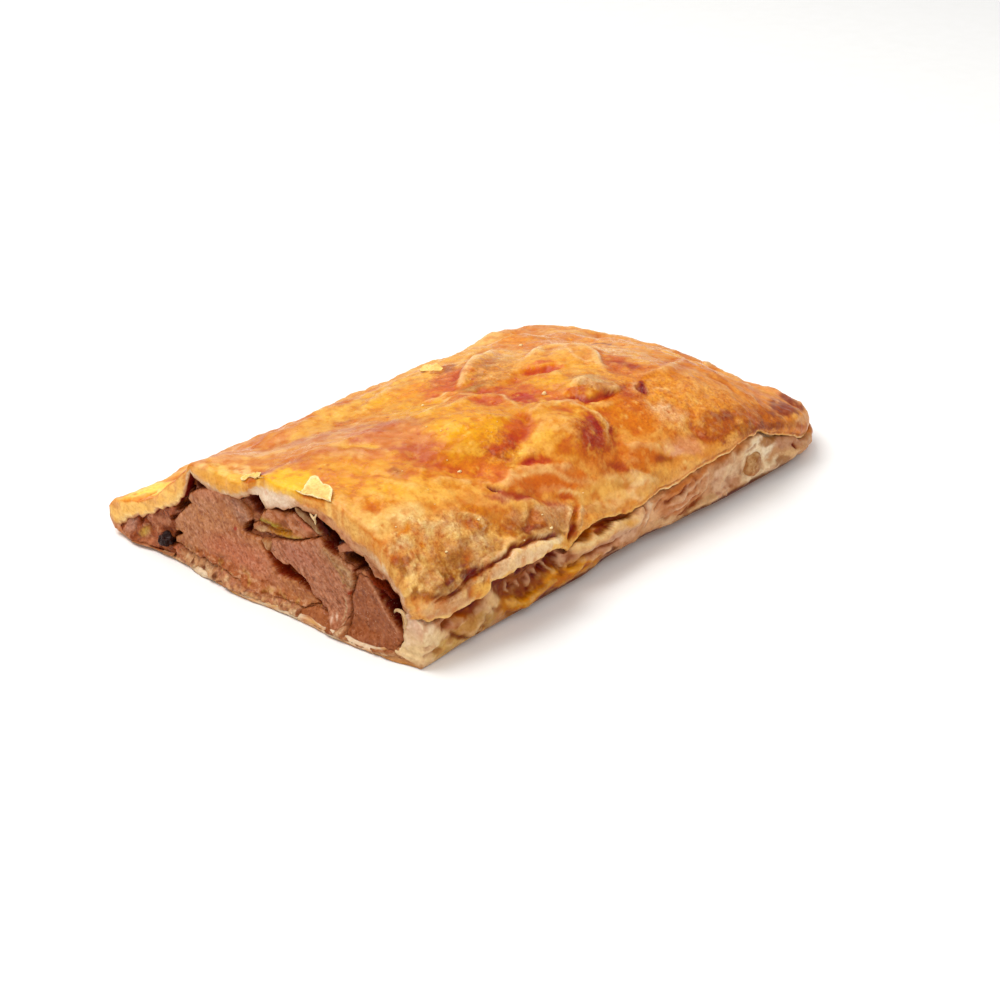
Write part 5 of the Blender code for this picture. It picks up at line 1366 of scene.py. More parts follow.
def make_base():
    xs = row_positions(0.4, 0.8)
    x = xs[:, None]
    edge = np.minimum(lip_height(x), crest(x) - 8.0)
    pad = np.pad(edge[:, 0], 9, mode="edge")
    zl = np.convolve(pad, np.hanning(19) / np.hanning(19).sum(), mode="same")[9:-9, None]
    y0 = foot(x)
    col = lambda a: (a + 0.0 * x)[:, 0]
    ys = [col(0.0 * x + 2.6), col(0.0 * x + 0.9), col(0.0 * x - 1.4), col(0.0 * x - 1.7), col(0.0 * x - 1.4),
          col(0.45 * y0 - 0.9), col(y0 * 0.85)]
    zs = [col(np.maximum(edge, zl) + 1.4), col(np.minimum(edge, zl) - 0.6), col(0.84 * zl), col(0.62 * zl), col(0.42 * zl), col(0.17 * zl), col(0.0 * x + 0.02)]
    t = np.linspace(0.0, 1.0, N_WALL)[None, :]
    vy, vz = spline(ys, zs, t)
    tb = np.linspace(0.0, 1.0, N_BOT + 1)[None, 1:]
    by = y0 * 0.85 + (118.5 - y0 * 0.85) * tb ** 1.3
    bz = bottom_height(by) + 0.02
    Vb = np.concatenate([vy, by], 1)
    Zb = np.concatenate([vz, bz + 0.0 * x], 1)
    P = finish_point(x + 0.0 * Vb, Vb, Zb)
    # the lower edge stands a little off the table
    off = np.interp(xs, [0, 6, 20, 60, 95, 130, 185, 202, 212], [0.0, 0.3, 1.6, 2.3, 3.2, 3.7, 3.2, 1.4, 0.0])[:, None]
    hang = np.where(np.arange(Vb.shape[1])[None, :] < N_WALL, smooth(10.0, 0.3, P[..., 2]), smooth(9.0, 0.0, Vb - 0.85 * y0))
    P[..., 2] += off * hang
    P[..., 1] -= 1.3 * off * hang
    N = grid_normals(P)
    if N[60, 30, 1] > 0:
        N = -N
    step = np.linalg.norm(np.diff(P, axis=1), axis=-1)
    Q = -np.concatenate([np.zeros((len(xs), 1)), np.cumsum(step, 1)], 1)
    cols = np.arange(Vb.shape[1])[None, :] + 0.0 * Vb
    X = np.broadcast_to(xs[:, None], Vb.shape).copy()
    c = Canvas(P, X, Q, N, cols < N_WALL)
    wall = smooth(1.0, 6.0, cols) * smooth(N_WALL - 1.0, N_WALL - 9.0, cols) * (1.0 - 0.7 * smooth(208.0, 222.0, X))
    d = base_relief(c, wall)
    G = P + N * d[..., None]
    G[..., 2] = np.maximum(G[..., 2], 0.02)
    edge_noise = fbm(np.stack([0.0 * X, P[..., 1], 0.0 * X], -1), 6.0, 4, 233, 0.65)
    G[..., 0] -= (apron(P[..., 1]) + 0.9 * edge_noise * smooth(4.0, 12.0, P[..., 1])) * smooth(7.0, 1.0, P[..., 2]) * smooth(6.0, 0.0, X)
    first = G[0]
    # inner line of the dough at the cut
    jk = [0, 10, 30, 50, 62, 72, N_WALL - 1, N_WALL + 6, N_WALL + 12, N_WALL + 20, N_WALL + 28, N_WALL + N_BOT - 1]
    yk = [6.2, 6.3, 6.5, 7.2, 8.2, 9.6, 12.0, 19.0, 33.0, 60.0, 92.0, 118.0]
    zk = [17.6, 15.4, 11.0, 7.2, 5.0, 3.8, 3.2, 2.4, 2.0, 1.8, 1.6, 1.4]
    jj = np.arange(Vb.shape[1], dtype=float)
    iy, iz = np.interp(jj, jk, yk), np.interp(jj, jk, zk)
    wob = np.stack([iy, iz, 0 * iy], -1)
    iz = iz + 0.9 * fbm(wob, 5.0, 3, 211) * smooth(N_WALL - 20, N_WALL + 4, jj)
    iz = np.maximum(iz, 0.7)
    iy = iy + 0.45 * fbm(wob, 3.0, 3, 217) * smooth(N_WALL + 2, N_WALL - 20, jj)
    inner = np.stack([-SKEW * iy - 0.75 * apron(iy) * smooth(7.0, 1.5, iz), iy, iz], -1)
    rows = []
    for k in range(8, 0, -1):
        xx = 12.0 * (k / 8.0) ** 1.2
        q = inner + np.array([1.0, 0.0, 0.0]) * xx
        q[:, 1] += 0.4 * fbm(q, 3.0, 2, 223)
        rows.append(q)
    bands = 10
    for k in range(bands):
        u = k / bands
        q = inner * (1.0 - u) + first * u
        lay = 0.40 * fbm(np.stack([q[:, 1] * 1.0, q[:, 2] * 1.0, 0 * iy], -1), 1.8, 3, 227) * math.sin(math.pi * (0.12 + 0.85 * u))
        swell = 0.7 * math.sin(math.pi * u) * smooth(N_WALL + 3, N_WALL - 10, jj) + 1.0 * math.sin(math.pi * u) * smooth(N_WALL, N_WALL + 8, jj)
        q[:, 0] -= 0.6 * swell - 1.3 * lay
        rows.append(q)
    full = np.concatenate([np.stack(rows, 0), G], 0)
    return c, G, full, X, Vb, cols, d, len(rows), 8


CB, GB, FULLB, XB, VB, COLSB, RELB, NB_CUT, NB_IN = make_base()


def paint_base(c, X, cols, relief):
    p = c.p
    z = p[..., 2]
    big, mid, small = fbm(p, 22.0, 3, 301), fbm(p, 7.0, 3, 307), fbm(p, 2.2, 3, 311)
    c.colour = np.broadcast_to(np.array([206.0, 152.0, 106.0]), p.shape).copy()
    c.coat((222, 178, 136), smooth(-0.1, 0.6, -big), 0.6)
    c.coat((168, 106, 70), smooth(0.05, 0.7, mid), 0.6)
    P = c.patch
    c.coat((236, 200, 150), P(430, 650, 24, 22, 0, 2), 0.95)
    c.coat((252, 222, 184), P(425, 632, 12, 15, 0, 3), 0.9)
    c.coat((244, 214, 166), P(431, 644, 10, 8, -30, 2), 0.8)
    c.coat((212, 168, 98), P(452, 650, 26, 10, -30, 2), 0.9)
    c.coat((200, 146, 84), P(474, 626, 26, 12, -24, 2), 0.95)
    c.coat((220, 174, 116), P(464, 618, 14, 5, -26, 2), 0.8)
    c.coat((190, 150, 92), P(487, 618, 12, 8, -26, 2), 0.7)
    # painted shade in the groove below the first flap and in the tear under it
    c.coat((130, 84, 44), c.line([(448, 631), (455, 638), (473, 636.5), (488, 628)], 0.6), 0.8)
    c.coat((160, 84, 46), P(462, 612, 26, 9, -36, 3), 0.95)
    c.coat((206, 112, 40), c.line([(452, 624), (464, 616), (474, 606)], 1.3), 0.8)
    c.coat((104, 34, 14), P(472, 606, 8, 3.4, -42, 2), 0.95)
    c.coat((196, 128, 92), P(446, 624, 6, 8, 10, 2), 0.85)
    c.coat((150, 74, 46), c.line([(441, 634), (444, 626), (447, 619)], 0.7), 0.8)
    c.coat((232, 190, 132), P(492, 600, 10, 10, -40, 3), 0.95)
    c.coat((246, 214, 160), c.line([(487, 610), (494, 610), (499, 602), (507, 596)], 0.7, 0.1), 0.9)
    # the hollow under the second flap is painted dark brown and its holes nearly black: painted shade in the recess
    c.coat((138, 74, 42), P(530, 577, 42, 17, -28, 4), 0.97)
    c.coat((136, 72, 36), P(500, 582, 9, 8, -28, 3), 0.9)
    c.coat((184, 122, 92), c.line([(506, 592), (520, 584), (536, 572), (552, 560), (564, 552)], 2.0, 0.1), 0.75)
    c.coat((196, 134, 104), P(562, 556, 12, 10, -40, 2), 0.8)
    for x, y, r in ((497, 581, 1.6), (519, 571, 1.5), (539, 577, 1.4), (556, 556, 1.9), (531, 588, 1.0), (547, 569, 1.3),
                    (507, 580, 1.3), (528, 567, 1.3), (551, 563, 1.2), (514, 588, 1.0)):
        c.coat((74, 20, 8), c.bump(x, y, r, None, 0, 1.5), 0.9)
    for pts in ([(520, 578), (524, 590)], [(529, 572), (533, 586)], [(538, 568), (541, 580)], [(548, 562), (552, 574)],
                [(508, 583), (512, 597)], [(558, 556), (562, 568)]):
        c.coat((200, 144, 116), c.line(pts, 0.6, 0.3), 0.75)
    # the orange strip, with a painted highlight along its upper edge and painted shade along its lower edge
    strip = c.line([(497, 612), (515, 603), (540, 590), (565, 575), (590, 560), (603, 553)], 2.8, 0.1)
    c.coat((196, 112, 6), strip, 1.0)
    c.coat((246, 162, 40), c.line([(500, 608), (515, 600), (540, 586), (565, 571), (588, 558)], 1.0, 0.1), 0.7)
    c.coat((140, 70, 10), c.line([(505, 616), (530, 603), (556, 588), (580, 573)], 0.9, 0.1), 0.7)
    c.coat((214, 156, 120), P(604, 540, 34, 12, -26, 2), 0.9)
    c.coat((226, 184, 150), P(622, 532, 16, 9, -20, 2), 0.7)
    # painted shade in the groove, and a painted highlight along the rim under it
    c.coat((170, 84, 32), P(598, 527, 34, 7, -28, 3), 0.95)
    c.coat((120, 44, 18), P(614, 521, 14, 3, -20, 2), 0.85)
    c.coat((216, 130, 56), P(588, 534, 14, 4, -30, 2), 0.7)
    c.coat((240, 176, 92), c.ridge([(569, 549), (577, 543), (585, 541), (596, 538), (606, 531), (618, 522), (634, 514), (644, 507)], 0.9, 1.6, 0.06), 0.95)
    c.coat((250, 214, 150), c.ridge([(569, 548), (577, 542.5), (585, 540.5), (596, 537), (606, 530), (618, 521), (634, 513)], 0.5, 0.5, 0.1), 0.8)
    c.coat((160, 92, 60), c.line([(575, 556), (590, 551), (606, 545), (622, 534)], 0.6), 0.7)
    c.coat((238, 184, 136), P(645, 513, 15, 16, 0, 2), 0.9)
    # painted highlights on the fold and wrinkle ridges, painted shade in the wrinkle grooves
    c.coat((240, 210, 180), c.line([(648, 498), (646, 512), (644, 528)], 0.7), 0.8)
    c.coat((208, 138, 92), P(684, 496, 34, 16, -28, 2), 0.9)
    for pts in ([(660, 506), (672, 500), (684, 490), (696, 480)], [(668, 520), (684, 513), (698, 503), (706, 491)],
                [(690, 474), (697, 480), (694, 490)]):
        c.coat((134, 66, 42), c.line(pts, 0.6, 0.3), 0.8)
    for pts in ([(662, 515), (676, 509), (690, 497), (704, 484)], [(680, 478), (688, 484), (684, 494), (676, 502)],
                [(702, 468), (708, 474), (706, 486), (698, 496)], [(700, 510), (712, 500), (724, 489)]):
        c.coat((226, 176, 150), c.line(pts, 0.6, 0.3), 0.75)
    c.coat((224, 176, 134), P(710, 491, 13, 10, -20, 2), 0.6)
    c.coat((214, 170, 120), P(706, 504, 20, 6, -30, 2), 0.8)
    c.coat((226, 182, 146), P(726, 478, 10, 24, 20, 2), 0.95)
    c.coat((250, 230, 196), P(760, 447, 26, 11, -24, 2), 0.95)
    c.coat((238, 212, 172), P(764, 470, 30, 8, -28, 2), 0.9)
    c.coat((248, 220, 178), c.ring(752, 464, 6.2, 1.4), 0.8)
    c.coat((128, 72, 42), c.line([(741, 476), (738, 470), (739, 462)], 1.0, 0.2), 0.8)
    c.coat((196, 140, 106), P(736, 480, 6, 5, 0, 2), 0.6)
    c.coat((196, 144, 110), P(788, 440, 16, 10, -20, 2), 0.85)
    c.coat((232, 190, 136), P(790, 456, 14, 6, -30, 2), 0.8)
    # painted shade in the small hole
    c.coat((110, 30, 16), c.bump(795, 447, 0.9, None, 0, 1.5), 0.95)
    c.coat((226, 140, 62), P(808, 424, 6, 14, 0, 2), 0.95)
    # painted light and shade from the relief: lighter on raised places, darker in hollows
    relief_light_shade = relief - (np.roll(relief, 5, 1) + np.roll(relief, -5, 1) + np.roll(relief, 5, 0) + np.roll(relief, -5, 0)) / 4.0
    c.coat((240, 206, 160), smooth(0.08, 0.7, relief_light_shade), 0.45)
    c.coat((122, 58, 30), smooth(0.08, 0.7, -relief_light_shade), 0.5)
    c.coat((232, 190, 150), smooth(0.2, 0.8, small), 0.3)
    c.coat((204, 118, 58), c.line([(664, 496), (682, 485), (700, 473), (716, 461), (732, 449), (746, 440)], 1.5, 0.1), 0.7)
    c.coat((236, 190, 150), c.line([(672, 500), (688, 490), (702, 479), (712, 468)], 0.6, 0.2), 0.8)
    c.coat((226, 172, 136), c.line([(664, 508), (676, 503), (688, 497), (694, 490)], 0.5, 0.2), 0.7)
    c.coat((240, 206, 164), P(735, 462, 7, 12, 24, 2), 0.6)
    c.coat((156, 94, 46), P(768, 440, 12, 4.5, -25, 2), 0.75)
    c.coat((150, 98, 64), P(782, 463, 9, 5.5, -25, 2), 0.65)
    c.coat((178, 112, 66), P(796, 436, 10, 6, -20, 2), 0.6)
    c.coat((96, 48, 22), P(610, 551, 8, 4, -25, 2), 0.7)
    c.coat((120, 72, 44), P(664, 520, 5, 3, -25, 2), 0.4)
    c.coat((150, 110, 80), P(574, 588, 12, 4, -25, 2), 0.4)
    c.coat((236, 198, 150), P(672, 520, 20, 4, -20, 2), 0.6)
    c.coat((166, 96, 64), smooth(0.2, 0.8, -small), 0.3)
    c.coat((222, 148, 78), smooth(203.0, 210.0, X) * (cols < N_WALL), 0.85)
    c.coat((190, 108, 54), smooth(203.0, 210.0, X) * smooth(0.0, 0.7, mid), 0.5)
    # the lowest rows of the wall, tucked under, are painted dark: painted contact shadow
    c.coat((88, 46, 22), smooth(N_WALL - 13.0, N_WALL - 4.0, cols + 2.0 * mid) * smooth(26.0, 62.0, X) * smooth(204.0, 196.0, X), 0.85)
    # the bottom is browned evenly
    under = smooth(N_WALL - 3.0, N_WALL + 2.0, cols)
    c.coat((206, 146, 84), under, 0.9)
    c.coat((166, 98, 50), under * smooth(-0.1, 0.7, fbm(p, 14.0, 3, 331)), 0.6)
    return c.colour


base_col = paint_base(CB, XB, COLSB, RELB)
cutb = FULLB[:NB_CUT]
kb = np.arange(NB_CUT)[:, None] + 0.0 * cutb[..., 0]
jb = np.arange(cutb.shape[1])[None, :] + 0.0 * cutb[..., 0]
nearb = smooth(N_WALL + 2.0, N_WALL - 10.0, jb)[..., None]
lay = fbm(cutb, 3.2, 3, 401)
fine_lay = fbm(cutb, 1.4, 3, 403)
cream = np.array([240.0, 206.0, 154.0])
wall_cut = cream + (np.array([232.0, 188.0, 156.0]) - cream) * smooth(6.0, 16.0, cutb[..., 2])[..., None]
wall_cut = wall_cut + (np.array([242.0, 212.0, 178.0]) - wall_cut) * (smooth(0.0, 0.8, lay) * 0.5)[..., None]
wall_cut = wall_cut + (np.array([220.0, 160.0, 124.0]) - wall_cut) * (smooth(0.2, 0.9, -lay) * 0.35)[..., None]
cutb_pix = pixel(cutb)
bot_cut = np.array([214.0, 152.0, 106.0]) + 0.0 * wall_cut


def lay_on(base, colour, mask):
    return base + (np.asarray(colour, float) - base) * clamp(mask)[..., None]


bits = fbm(cutb, 2.4, 3, 405, 0.65)
bot_cut = lay_on(bot_cut, (224, 172, 124), 0.6 + 0.0 * lay)
bot_cut = lay_on(bot_cut, (232, 194, 152), smooth(0.0, 0.6, lay) * 0.8)
bot_cut = lay_on(bot_cut, (168, 98, 56), smooth(0.05, 0.7, -fine_lay) * 0.6)
bot_cut = lay_on(bot_cut, (204, 150, 62), smooth(0.3, 0.7, fine_lay) * 0.6)
for px_, py_, rx_, ry_, turn_ in ((204, 572, 13, 6, 30), (289, 611, 16, 8, 26), (357, 641, 20, 6, 24), (395, 657, 10, 4, 24), (378, 652, 12, 5, 24), (331, 632, 12, 5, 26), (243, 594, 7, 3, 26),
                                  (322, 624, 7, 3, 26), (262, 602, 5, 3, 26)):
    bot_cut = lay_on(bot_cut, (242, 216, 182), smooth(0.25, 0.7, blob(cutb_pix, px_, py_, rx_, ry_, turn_, 2) + 0.35 * bits) * 0.95)
bot_cut = lay_on(bot_cut, (200, 136, 84), smooth(0.3, 0.8, blob(cutb_pix, 398, 662, 26, 9, 24, 2) + 0.3 * bits) * 0.8)
cb_col = wall_cut * nearb + bot_cut * (1.0 - nearb)
inner_b = (kb < NB_IN)[..., None] * 1.0
cb_col = cb_col * (1.0 - inner_b) + np.array([150.0, 74.0, 44.0]) * inner_b
tint_b = np.concatenate([cb_col, base_col], 0)
base_obj = mesh_object("near_side_and_bottom", FULLB.reshape(-1, 3), grid_quads(*FULLB.shape[:2]))
dough_mat = food_material("dough", dark=(0.80, 0.66, 0.54), light=(1.10, 1.13, 1.16), speck=1300.0, mottle=420.0, rough=(0.30, 0.52), bump=0.5,
                          depth=0.0006, subsurface=0.1, specular=0.18)
dress(base_obj, tint_b, np.full(FULLB.shape[:2], 0.5), np.full(FULLB.shape[:2], 0.4), dough_mat, ("pastry",), gain=1.16, haze=0.035)

# ---------------------------------------------------------------------------
# Cut face: filling with its hollows, and wedges of apple in front of it
# ---------------------------------------------------------------------------
def mm(points):
    """Picture points on the cut, as (y, z) in mm."""
    return [on_cut(*p) for p in points]


def inside(y, z, outline):
    """Signed distance to a closed outline in mm, positive inside."""
    best = np.full(np.shape(y), 1e9)
    odd = np.zeros(np.shape(y), bool)
    n = len(outline)
    for k in range(n):
        (ay, az), (by, bz) = outline[k], outline[(k + 1) % n]
        ey, ez = by - ay, bz - az
        t = clamp(((y - ay) * ey + (z - az) * ez) / (ey * ey + ez * ez + 1e-12))
        best = np.minimum(best, (y - ay - t * ey) ** 2 + (z - az - t * ez) ** 2)
        cross = (az > z) != (bz > z)
        odd ^= cross & (y < ay + (z - az) / (bz - az + 1e-12) * ey)
    return np.sqrt(best) * np.where(odd, 1.0, -1.0)


def track(y, z, line):
    """Distance in mm to an open line, and the place along it from 0 to 1."""
    best, where, done = np.full(np.shape(y), 1e9), np.zeros(np.shape(y)), 0.0
    seg = [math.dist(a, b) for a, b in zip(line, line[1:])]
    for k, ((ay, az), (by, bz)) in enumerate(zip(line, line[1:])):
        ey, ez = by - ay, bz - az
        t = clamp(((y - ay) * ey + (z - az) * ez) / (ey * ey + ez * ez + 1e-12))
        d = (y - ay - t * ey) ** 2 + (z - az - t * ez) ** 2
        where = np.where(d < best, (done + t * seg[k]) / sum(seg), where)
        best = np.minimum(best, d)
        done += seg[k]
    return np.sqrt(best), where


def traced(points):
    return [(y, max(0.9, z)) for y, z in mm(points)]


WEDGE_LEFT = traced([
    (190, 493.4), (195.4, 490.6), (204, 488.6), (213.8, 488.4), (221.4, 490.6), (230, 494), (238.8, 500), (245, 508), (250, 515.5),
    (250.5, 520), (245, 523), (243.4, 530), (247, 533.5), (254, 536.5), (260.3, 539), (264.4, 549.5), (272, 562.5), (277.5, 573.5),
    (287.9, 578.6), (300.5, 585.6), (313.5, 596), (319, 603.5), (305, 605), (293.6, 600.4), (278.7, 595.5), (264.9, 591.5),
    (250, 583.8), (241, 577), (230, 569.3), (213.8, 560.5), (197.6, 554.5), (184.6, 547.5), (174.8, 542.6), (175.4, 536.7),
    (181.3, 533.5), (174.8, 530.2), (173.7, 519.4), (180.2, 510.7), (190, 503), (187.4, 498.4)])
WEDGE_MIDDLE = traced([
    (270.7, 539.5), (287.9, 540.4), (302.8, 541.5), (318.9, 537.8), (325.8, 547.8), (335, 555.6), (341.8, 561.2), (352.6, 568.4),
    (352.2, 576), (350.6, 586.3), (347.6, 595.5), (349.4, 608), (346.8, 623), (341.8, 632.2), (336, 627), (332.7, 618), (326, 609),
    (320.6, 603), (311.6, 592), (306, 579), (296.6, 572.8), (290.4, 565), (283.3, 563.5), (274.8, 558.5), (270.4, 551)])
WEDGE_RIGHT = traced([
    (356.8, 574.8), (366, 579.4), (376.3, 595.5), (387.8, 613.8), (400.4, 632.2), (402.2, 641), (397, 650), (384, 648.5),
    (372, 645), (358, 638.5), (349.6, 633), (351.6, 609.2), (349.6, 597.8), (353.6, 584)])
SLICE = traced([
    (261.5, 510.4), (268, 508.4), (281, 512.6), (292, 513.6), (300, 521.5), (309, 530), (316, 537.2), (312, 540), (302.8, 540.4),
    (287.9, 539.2), (277.5, 535.6), (266, 534.5), (256.9, 532.4), (250.6, 531.2), (250, 524.8), (256, 521.6)])
MAUVE = traced([
    (303.6, 606.6), (314.3, 605.6), (324.6, 609.2), (332, 616), (336.5, 627.5), (330, 628.5), (321, 625), (311, 620), (304, 614)])

HOLLOWS = (
    # outline in the picture, depth in mm, softness of its edge, colour: the dark red partly the filling's own colour,
    # partly painted shade in the hollow
    ([(191, 472), (192, 483), (195.5, 489.5), (204, 490), (215, 488), (206, 484), (197, 477)], 11.0, 1.4, (96, 20, 6)),
    ([(172, 508), (177, 503.5), (183.5, 497), (189, 501), (186, 507), (180, 508.5), (176, 511), (172, 511)], 5.0, 1.0, (120, 56, 28)),
    ([(186, 487), (190.5, 488), (191, 495), (187, 494)], 5.0, 0.8, (84, 32, 14)),
    ([(166, 520), (170, 516.5), (176, 515), (174, 520), (169, 522)], 3.6, 0.8, (110, 48, 24)),
    ([(139, 517), (144, 516.5), (143.5, 521), (141, 525), (138, 523)], 3.4, 1.4, (150, 66, 34)),
    ([(170, 544), (172, 535), (175, 532), (182, 532.5), (177, 539), (174.5, 545)], 8.0, 0.8, (30, 8, 4)),
    ([(245, 499), (257, 491), (261, 496), (262, 506.5), (257, 514.5), (251.5, 512), (252, 506)], 9.0, 2.4, (84, 14, 4)),
    ([(244, 522), (250, 521), (248, 533), (243, 531)], 7.0, 0.8, (40, 10, 4)),
    ([(268, 505), (292, 504.5), (298, 509), (290, 513), (277, 512.5)], 6.0, 1.4, (66, 16, 6)),
    ([(292, 502), (316, 508), (332, 521), (334, 533), (324, 537), (316, 534), (306, 524), (297, 514)], 9.0, 1.0, (70, 14, 5)),
    ([(322, 536), (343, 534.5), (339, 545.5), (334, 553.5), (325, 546.5)], 11.0, 1.2, (66, 6, 2)),
    ([(341, 550), (350, 545), (362, 552.5), (357.5, 567), (344, 561)], 6.5, 1.2, (90, 44, 18)),
    ([(361, 556), (368, 561), (366, 570), (352, 571)], 8.0, 1.0, (60, 8, 3)),
    ([(360, 566), (374, 571), (386, 582), (392, 579), (396, 592), (403.5, 600), (403, 611), (398, 632), (390, 618), (379, 600),
      (370, 583)], 12.0, 1.6, (52, 0, 0)),
    ([(266, 552), (274, 560), (290, 564), (297, 572), (306, 578), (313, 592), (323, 606), (313, 597), (300, 587), (287, 580),
      (276, 575), (270, 562)], 6.0, 1.6, (146, 58, 22)),
)


def make_filling():
    step = 0.34
    ys = np.arange(3.6, 141.6, step)
    zs = np.arange(0.6, 43.0, step)
    Y, Z = np.meshgrid(ys, zs, indexing="ij")
    flat = np.stack([0.0 * Y, Y, Z], -1)
    deep = 1.6 + 0.7 * fbm(flat, 7.0, 3, 501) + 0.5 * fbm(flat, 2.2, 3, 503)
    colour = np.broadcast_to(np.array([158.0, 92.0, 58.0]), flat.shape).copy()
    pix = pixel(np.stack([-SKEW * Y, Y, Z], -1))

    def coat(rgb_, mask, strength=1.0):
        nonlocal colour
        m = clamp(mask * strength)[..., None]
        colour = colour * (1.0 - m) + np.asarray(rgb_, float) * m

    # mashed, fibrous layer along the bottom, lumps beside the raisin
    mash = np.maximum(blob(pix, 235, 572, 60, 20, 27, 2), smooth(9.0, 6.0, Z) * smooth(8.0, 14.0, Y) * smooth(116.0, 111.0, Y))
    deep += mash * (1.0 * fbm(flat, 3.0, 4, 511) - 1.0)
    lumps = blob(pix, 146, 526, 22, 18, 20, 2)
    dist, pick = cells(flat, 4.4, 513)
    deep -= lumps * (0.9 + (0.55 - dist) * 2.4)
    coat((176, 106, 66), mash, 0.6)
    n1, n2 = fbm(flat, 4.0, 3, 521), fbm(flat, 1.6, 3, 523)
    coat((206, 140, 96), smooth(0.0, 0.7, n1), 0.6)
    coat((110, 52, 26), smooth(0.1, 0.8, -n1), 0.7)
    coat((196, 150, 70), smooth(0.35, 0.8, n2) * mash, 0.6)
    n3 = fbm(flat, 2.4, 3, 527)
    coat((236, 206, 172), smooth(0.25, 0.7, n3) * blob(pix, 206, 573, 18, 6, 32, 2), 0.95)
    coat((222, 170, 122), smooth(7.0, 3.0, Z) * smooth(110.0, 104.0, Y), 0.7)
    coat((236, 204, 164), smooth(0.1, 0.6, n3) * smooth(6.0, 2.0, Z), 0.75)
    coat((160, 94, 52), smooth(0.25, 0.75, -n3) * smooth(6.0, 2.0, Z), 0.5)
    coat((196, 122, 92), smooth(0.2, 0.7, -n3) * mash, 0.5)
    coat((110, 56, 30), smooth(0.45, 0.9, -n2) * mash, 0.7)
    wing_in = smooth(108.0, 112.0, Y)
    coat((170, 92, 52), wing_in, 0.9)
    coat((196, 112, 78), wing_in * smooth(-0.1, 0.5, n1), 0.85)
    coat((128, 60, 34), wing_in * smooth(0.1, 0.6, -n3), 0.85)
    coat((214, 150, 112), wing_in * smooth(0.3, 0.7, n2), 0.7)
    coat((226, 112, 44), blob(pix, 330, 530, 16, 8, 40, 2), 0.6)
    coat((214, 160, 136), blob(pix, 132, 524, 6, 8, 0, 2), 0.8)
    coat((204, 166, 76), blob(pix, 146, 531, 4.5, 5, 0, 2), 0.8)
    coat((216, 146, 112), blob(pix, 158, 521, 9, 6, 30, 2), 0.7)
    coat((150, 54, 22), blob(pix, 141, 519, 5, 5, 30, 2), 0.8)
    coat((176, 118, 60), blob(pix, 128, 538, 9, 7, 34, 2), 0.7)
    coat((196, 120, 84), blob(pix, 150, 542, 12, 6, 20, 2), 0.7)
    for outline in (WEDGE_LEFT, WEDGE_MIDDLE, WEDGE_RIGHT, SLICE, MAUVE):
        sd = inside(Y, Z, outline)
        deep = np.maximum(deep, 6.0 * smooth(-0.3, 0.6, sd - 0.5 * smooth(6.0, 3.0, Z)))
        coat((162, 88, 48), smooth(-0.7, 0.1, sd), 0.6)
    # each hollow takes its colour, partly painted shade, with a darker rim
    for outline, depth, soft, shade in HOLLOWS:
        sd = inside(Y, Z, mm(outline))
        m = smooth(-0.5, soft, sd)
        deep = deep * (1.0 - m) + depth * m
        core = np.asarray(shade, float)
        coat(core * 0.45 + np.array([150.0, 76.0, 44.0]) * 0.55, smooth(-1.0, 0.2, sd), 0.85)
        coat(core, smooth(-0.1, 0.7 * soft, sd), 1.0)
    # orange light along the lower left side of the two long hollows
    d1, t1 = track(Y, Z, mm([(360, 572), (370, 585), (379, 601), (390, 618), (398, 630)]))
    coat((176, 64, 18), np.exp(-(d1 / 1.2) ** 2) * smooth(0.0, 0.3, t1), 0.85)
    d1, t1 = track(Y, Z, mm([(272, 565), (287, 578), (300, 585), (312, 595)]))
    coat((190, 100, 40), np.exp(-(d1 / 1.0) ** 2), 0.7)
    foot_out = apron(Y) * smooth(8.5, 0.8, Z)
    deep = deep - 1.1 * foot_out - 0.7 * smooth(5.5, 2.0, Z)
    pts = np.stack([-SKEW * Y + deep, Y, Z], -1)
    # towards the rim of the pastry the filling tucks in behind it
    ceil = np.interp(Y, [2, 6, 7.8, 11.3, 17.8, 28.2, 34.5, 41.7, 51.3, 60, 67.1, 69.4, 72.3, 77.4, 83, 89, 96.7, 101.3, 104.6, 108.4,
                         112, 116, 121, 127, 132.6, 138, 141],
                     [8, 18, 21.9, 26.6, 30.2, 33.8, 37.0, 39.6, 39.4, 36.5, 35.2, 38.4, 37.8, 34, 33, 31.7, 31.8, 33.8, 27, 23, 21.2, 18.6,
                      15.4, 11.9, 9.0, 6.2, 4.6])
    over = Z - ceil
    pts[..., 0] += (2.4 - 1.6 * smooth(106.0, 110.0, Y)) * smooth(-0.5, 0.8, over)
    low = smooth(1.5, 0.6, Z)
    pts[..., 0] += 1.0 * low
    keep = (over < 2.0) & ~((Y < 6.0) & (Z < 3.0))
    quads = grid_quads(*Y.shape)
    ok = keep.reshape(-1)[quads].all(1)
    quads = quads[ok]
    used, back = np.unique(quads, return_inverse=True)
    return pts.reshape(-1, 3)[used], back.reshape(-1, 4), colour.reshape(-1, 3)[used], deep.reshape(-1)[used]


FP, FQ, FCOL, FDEEP = make_filling()
filling = mesh_object("filling", FP, FQ)
filling_mat = food_material("filling", dark=(0.62, 0.44, 0.32), light=(1.24, 1.26, 1.24), speck=1400.0, mottle=560.0, rough=(0.22, 0.5),
                            bump=1.0, depth=0.0008, subsurface=0.06, specular=0.22)
dress(filling, FCOL, clamp(0.8 - 0.05 * FDEEP), np.full(len(FP), 0.9), filling_mat, ("apple_filling",), gain=1.3, haze=0.014)


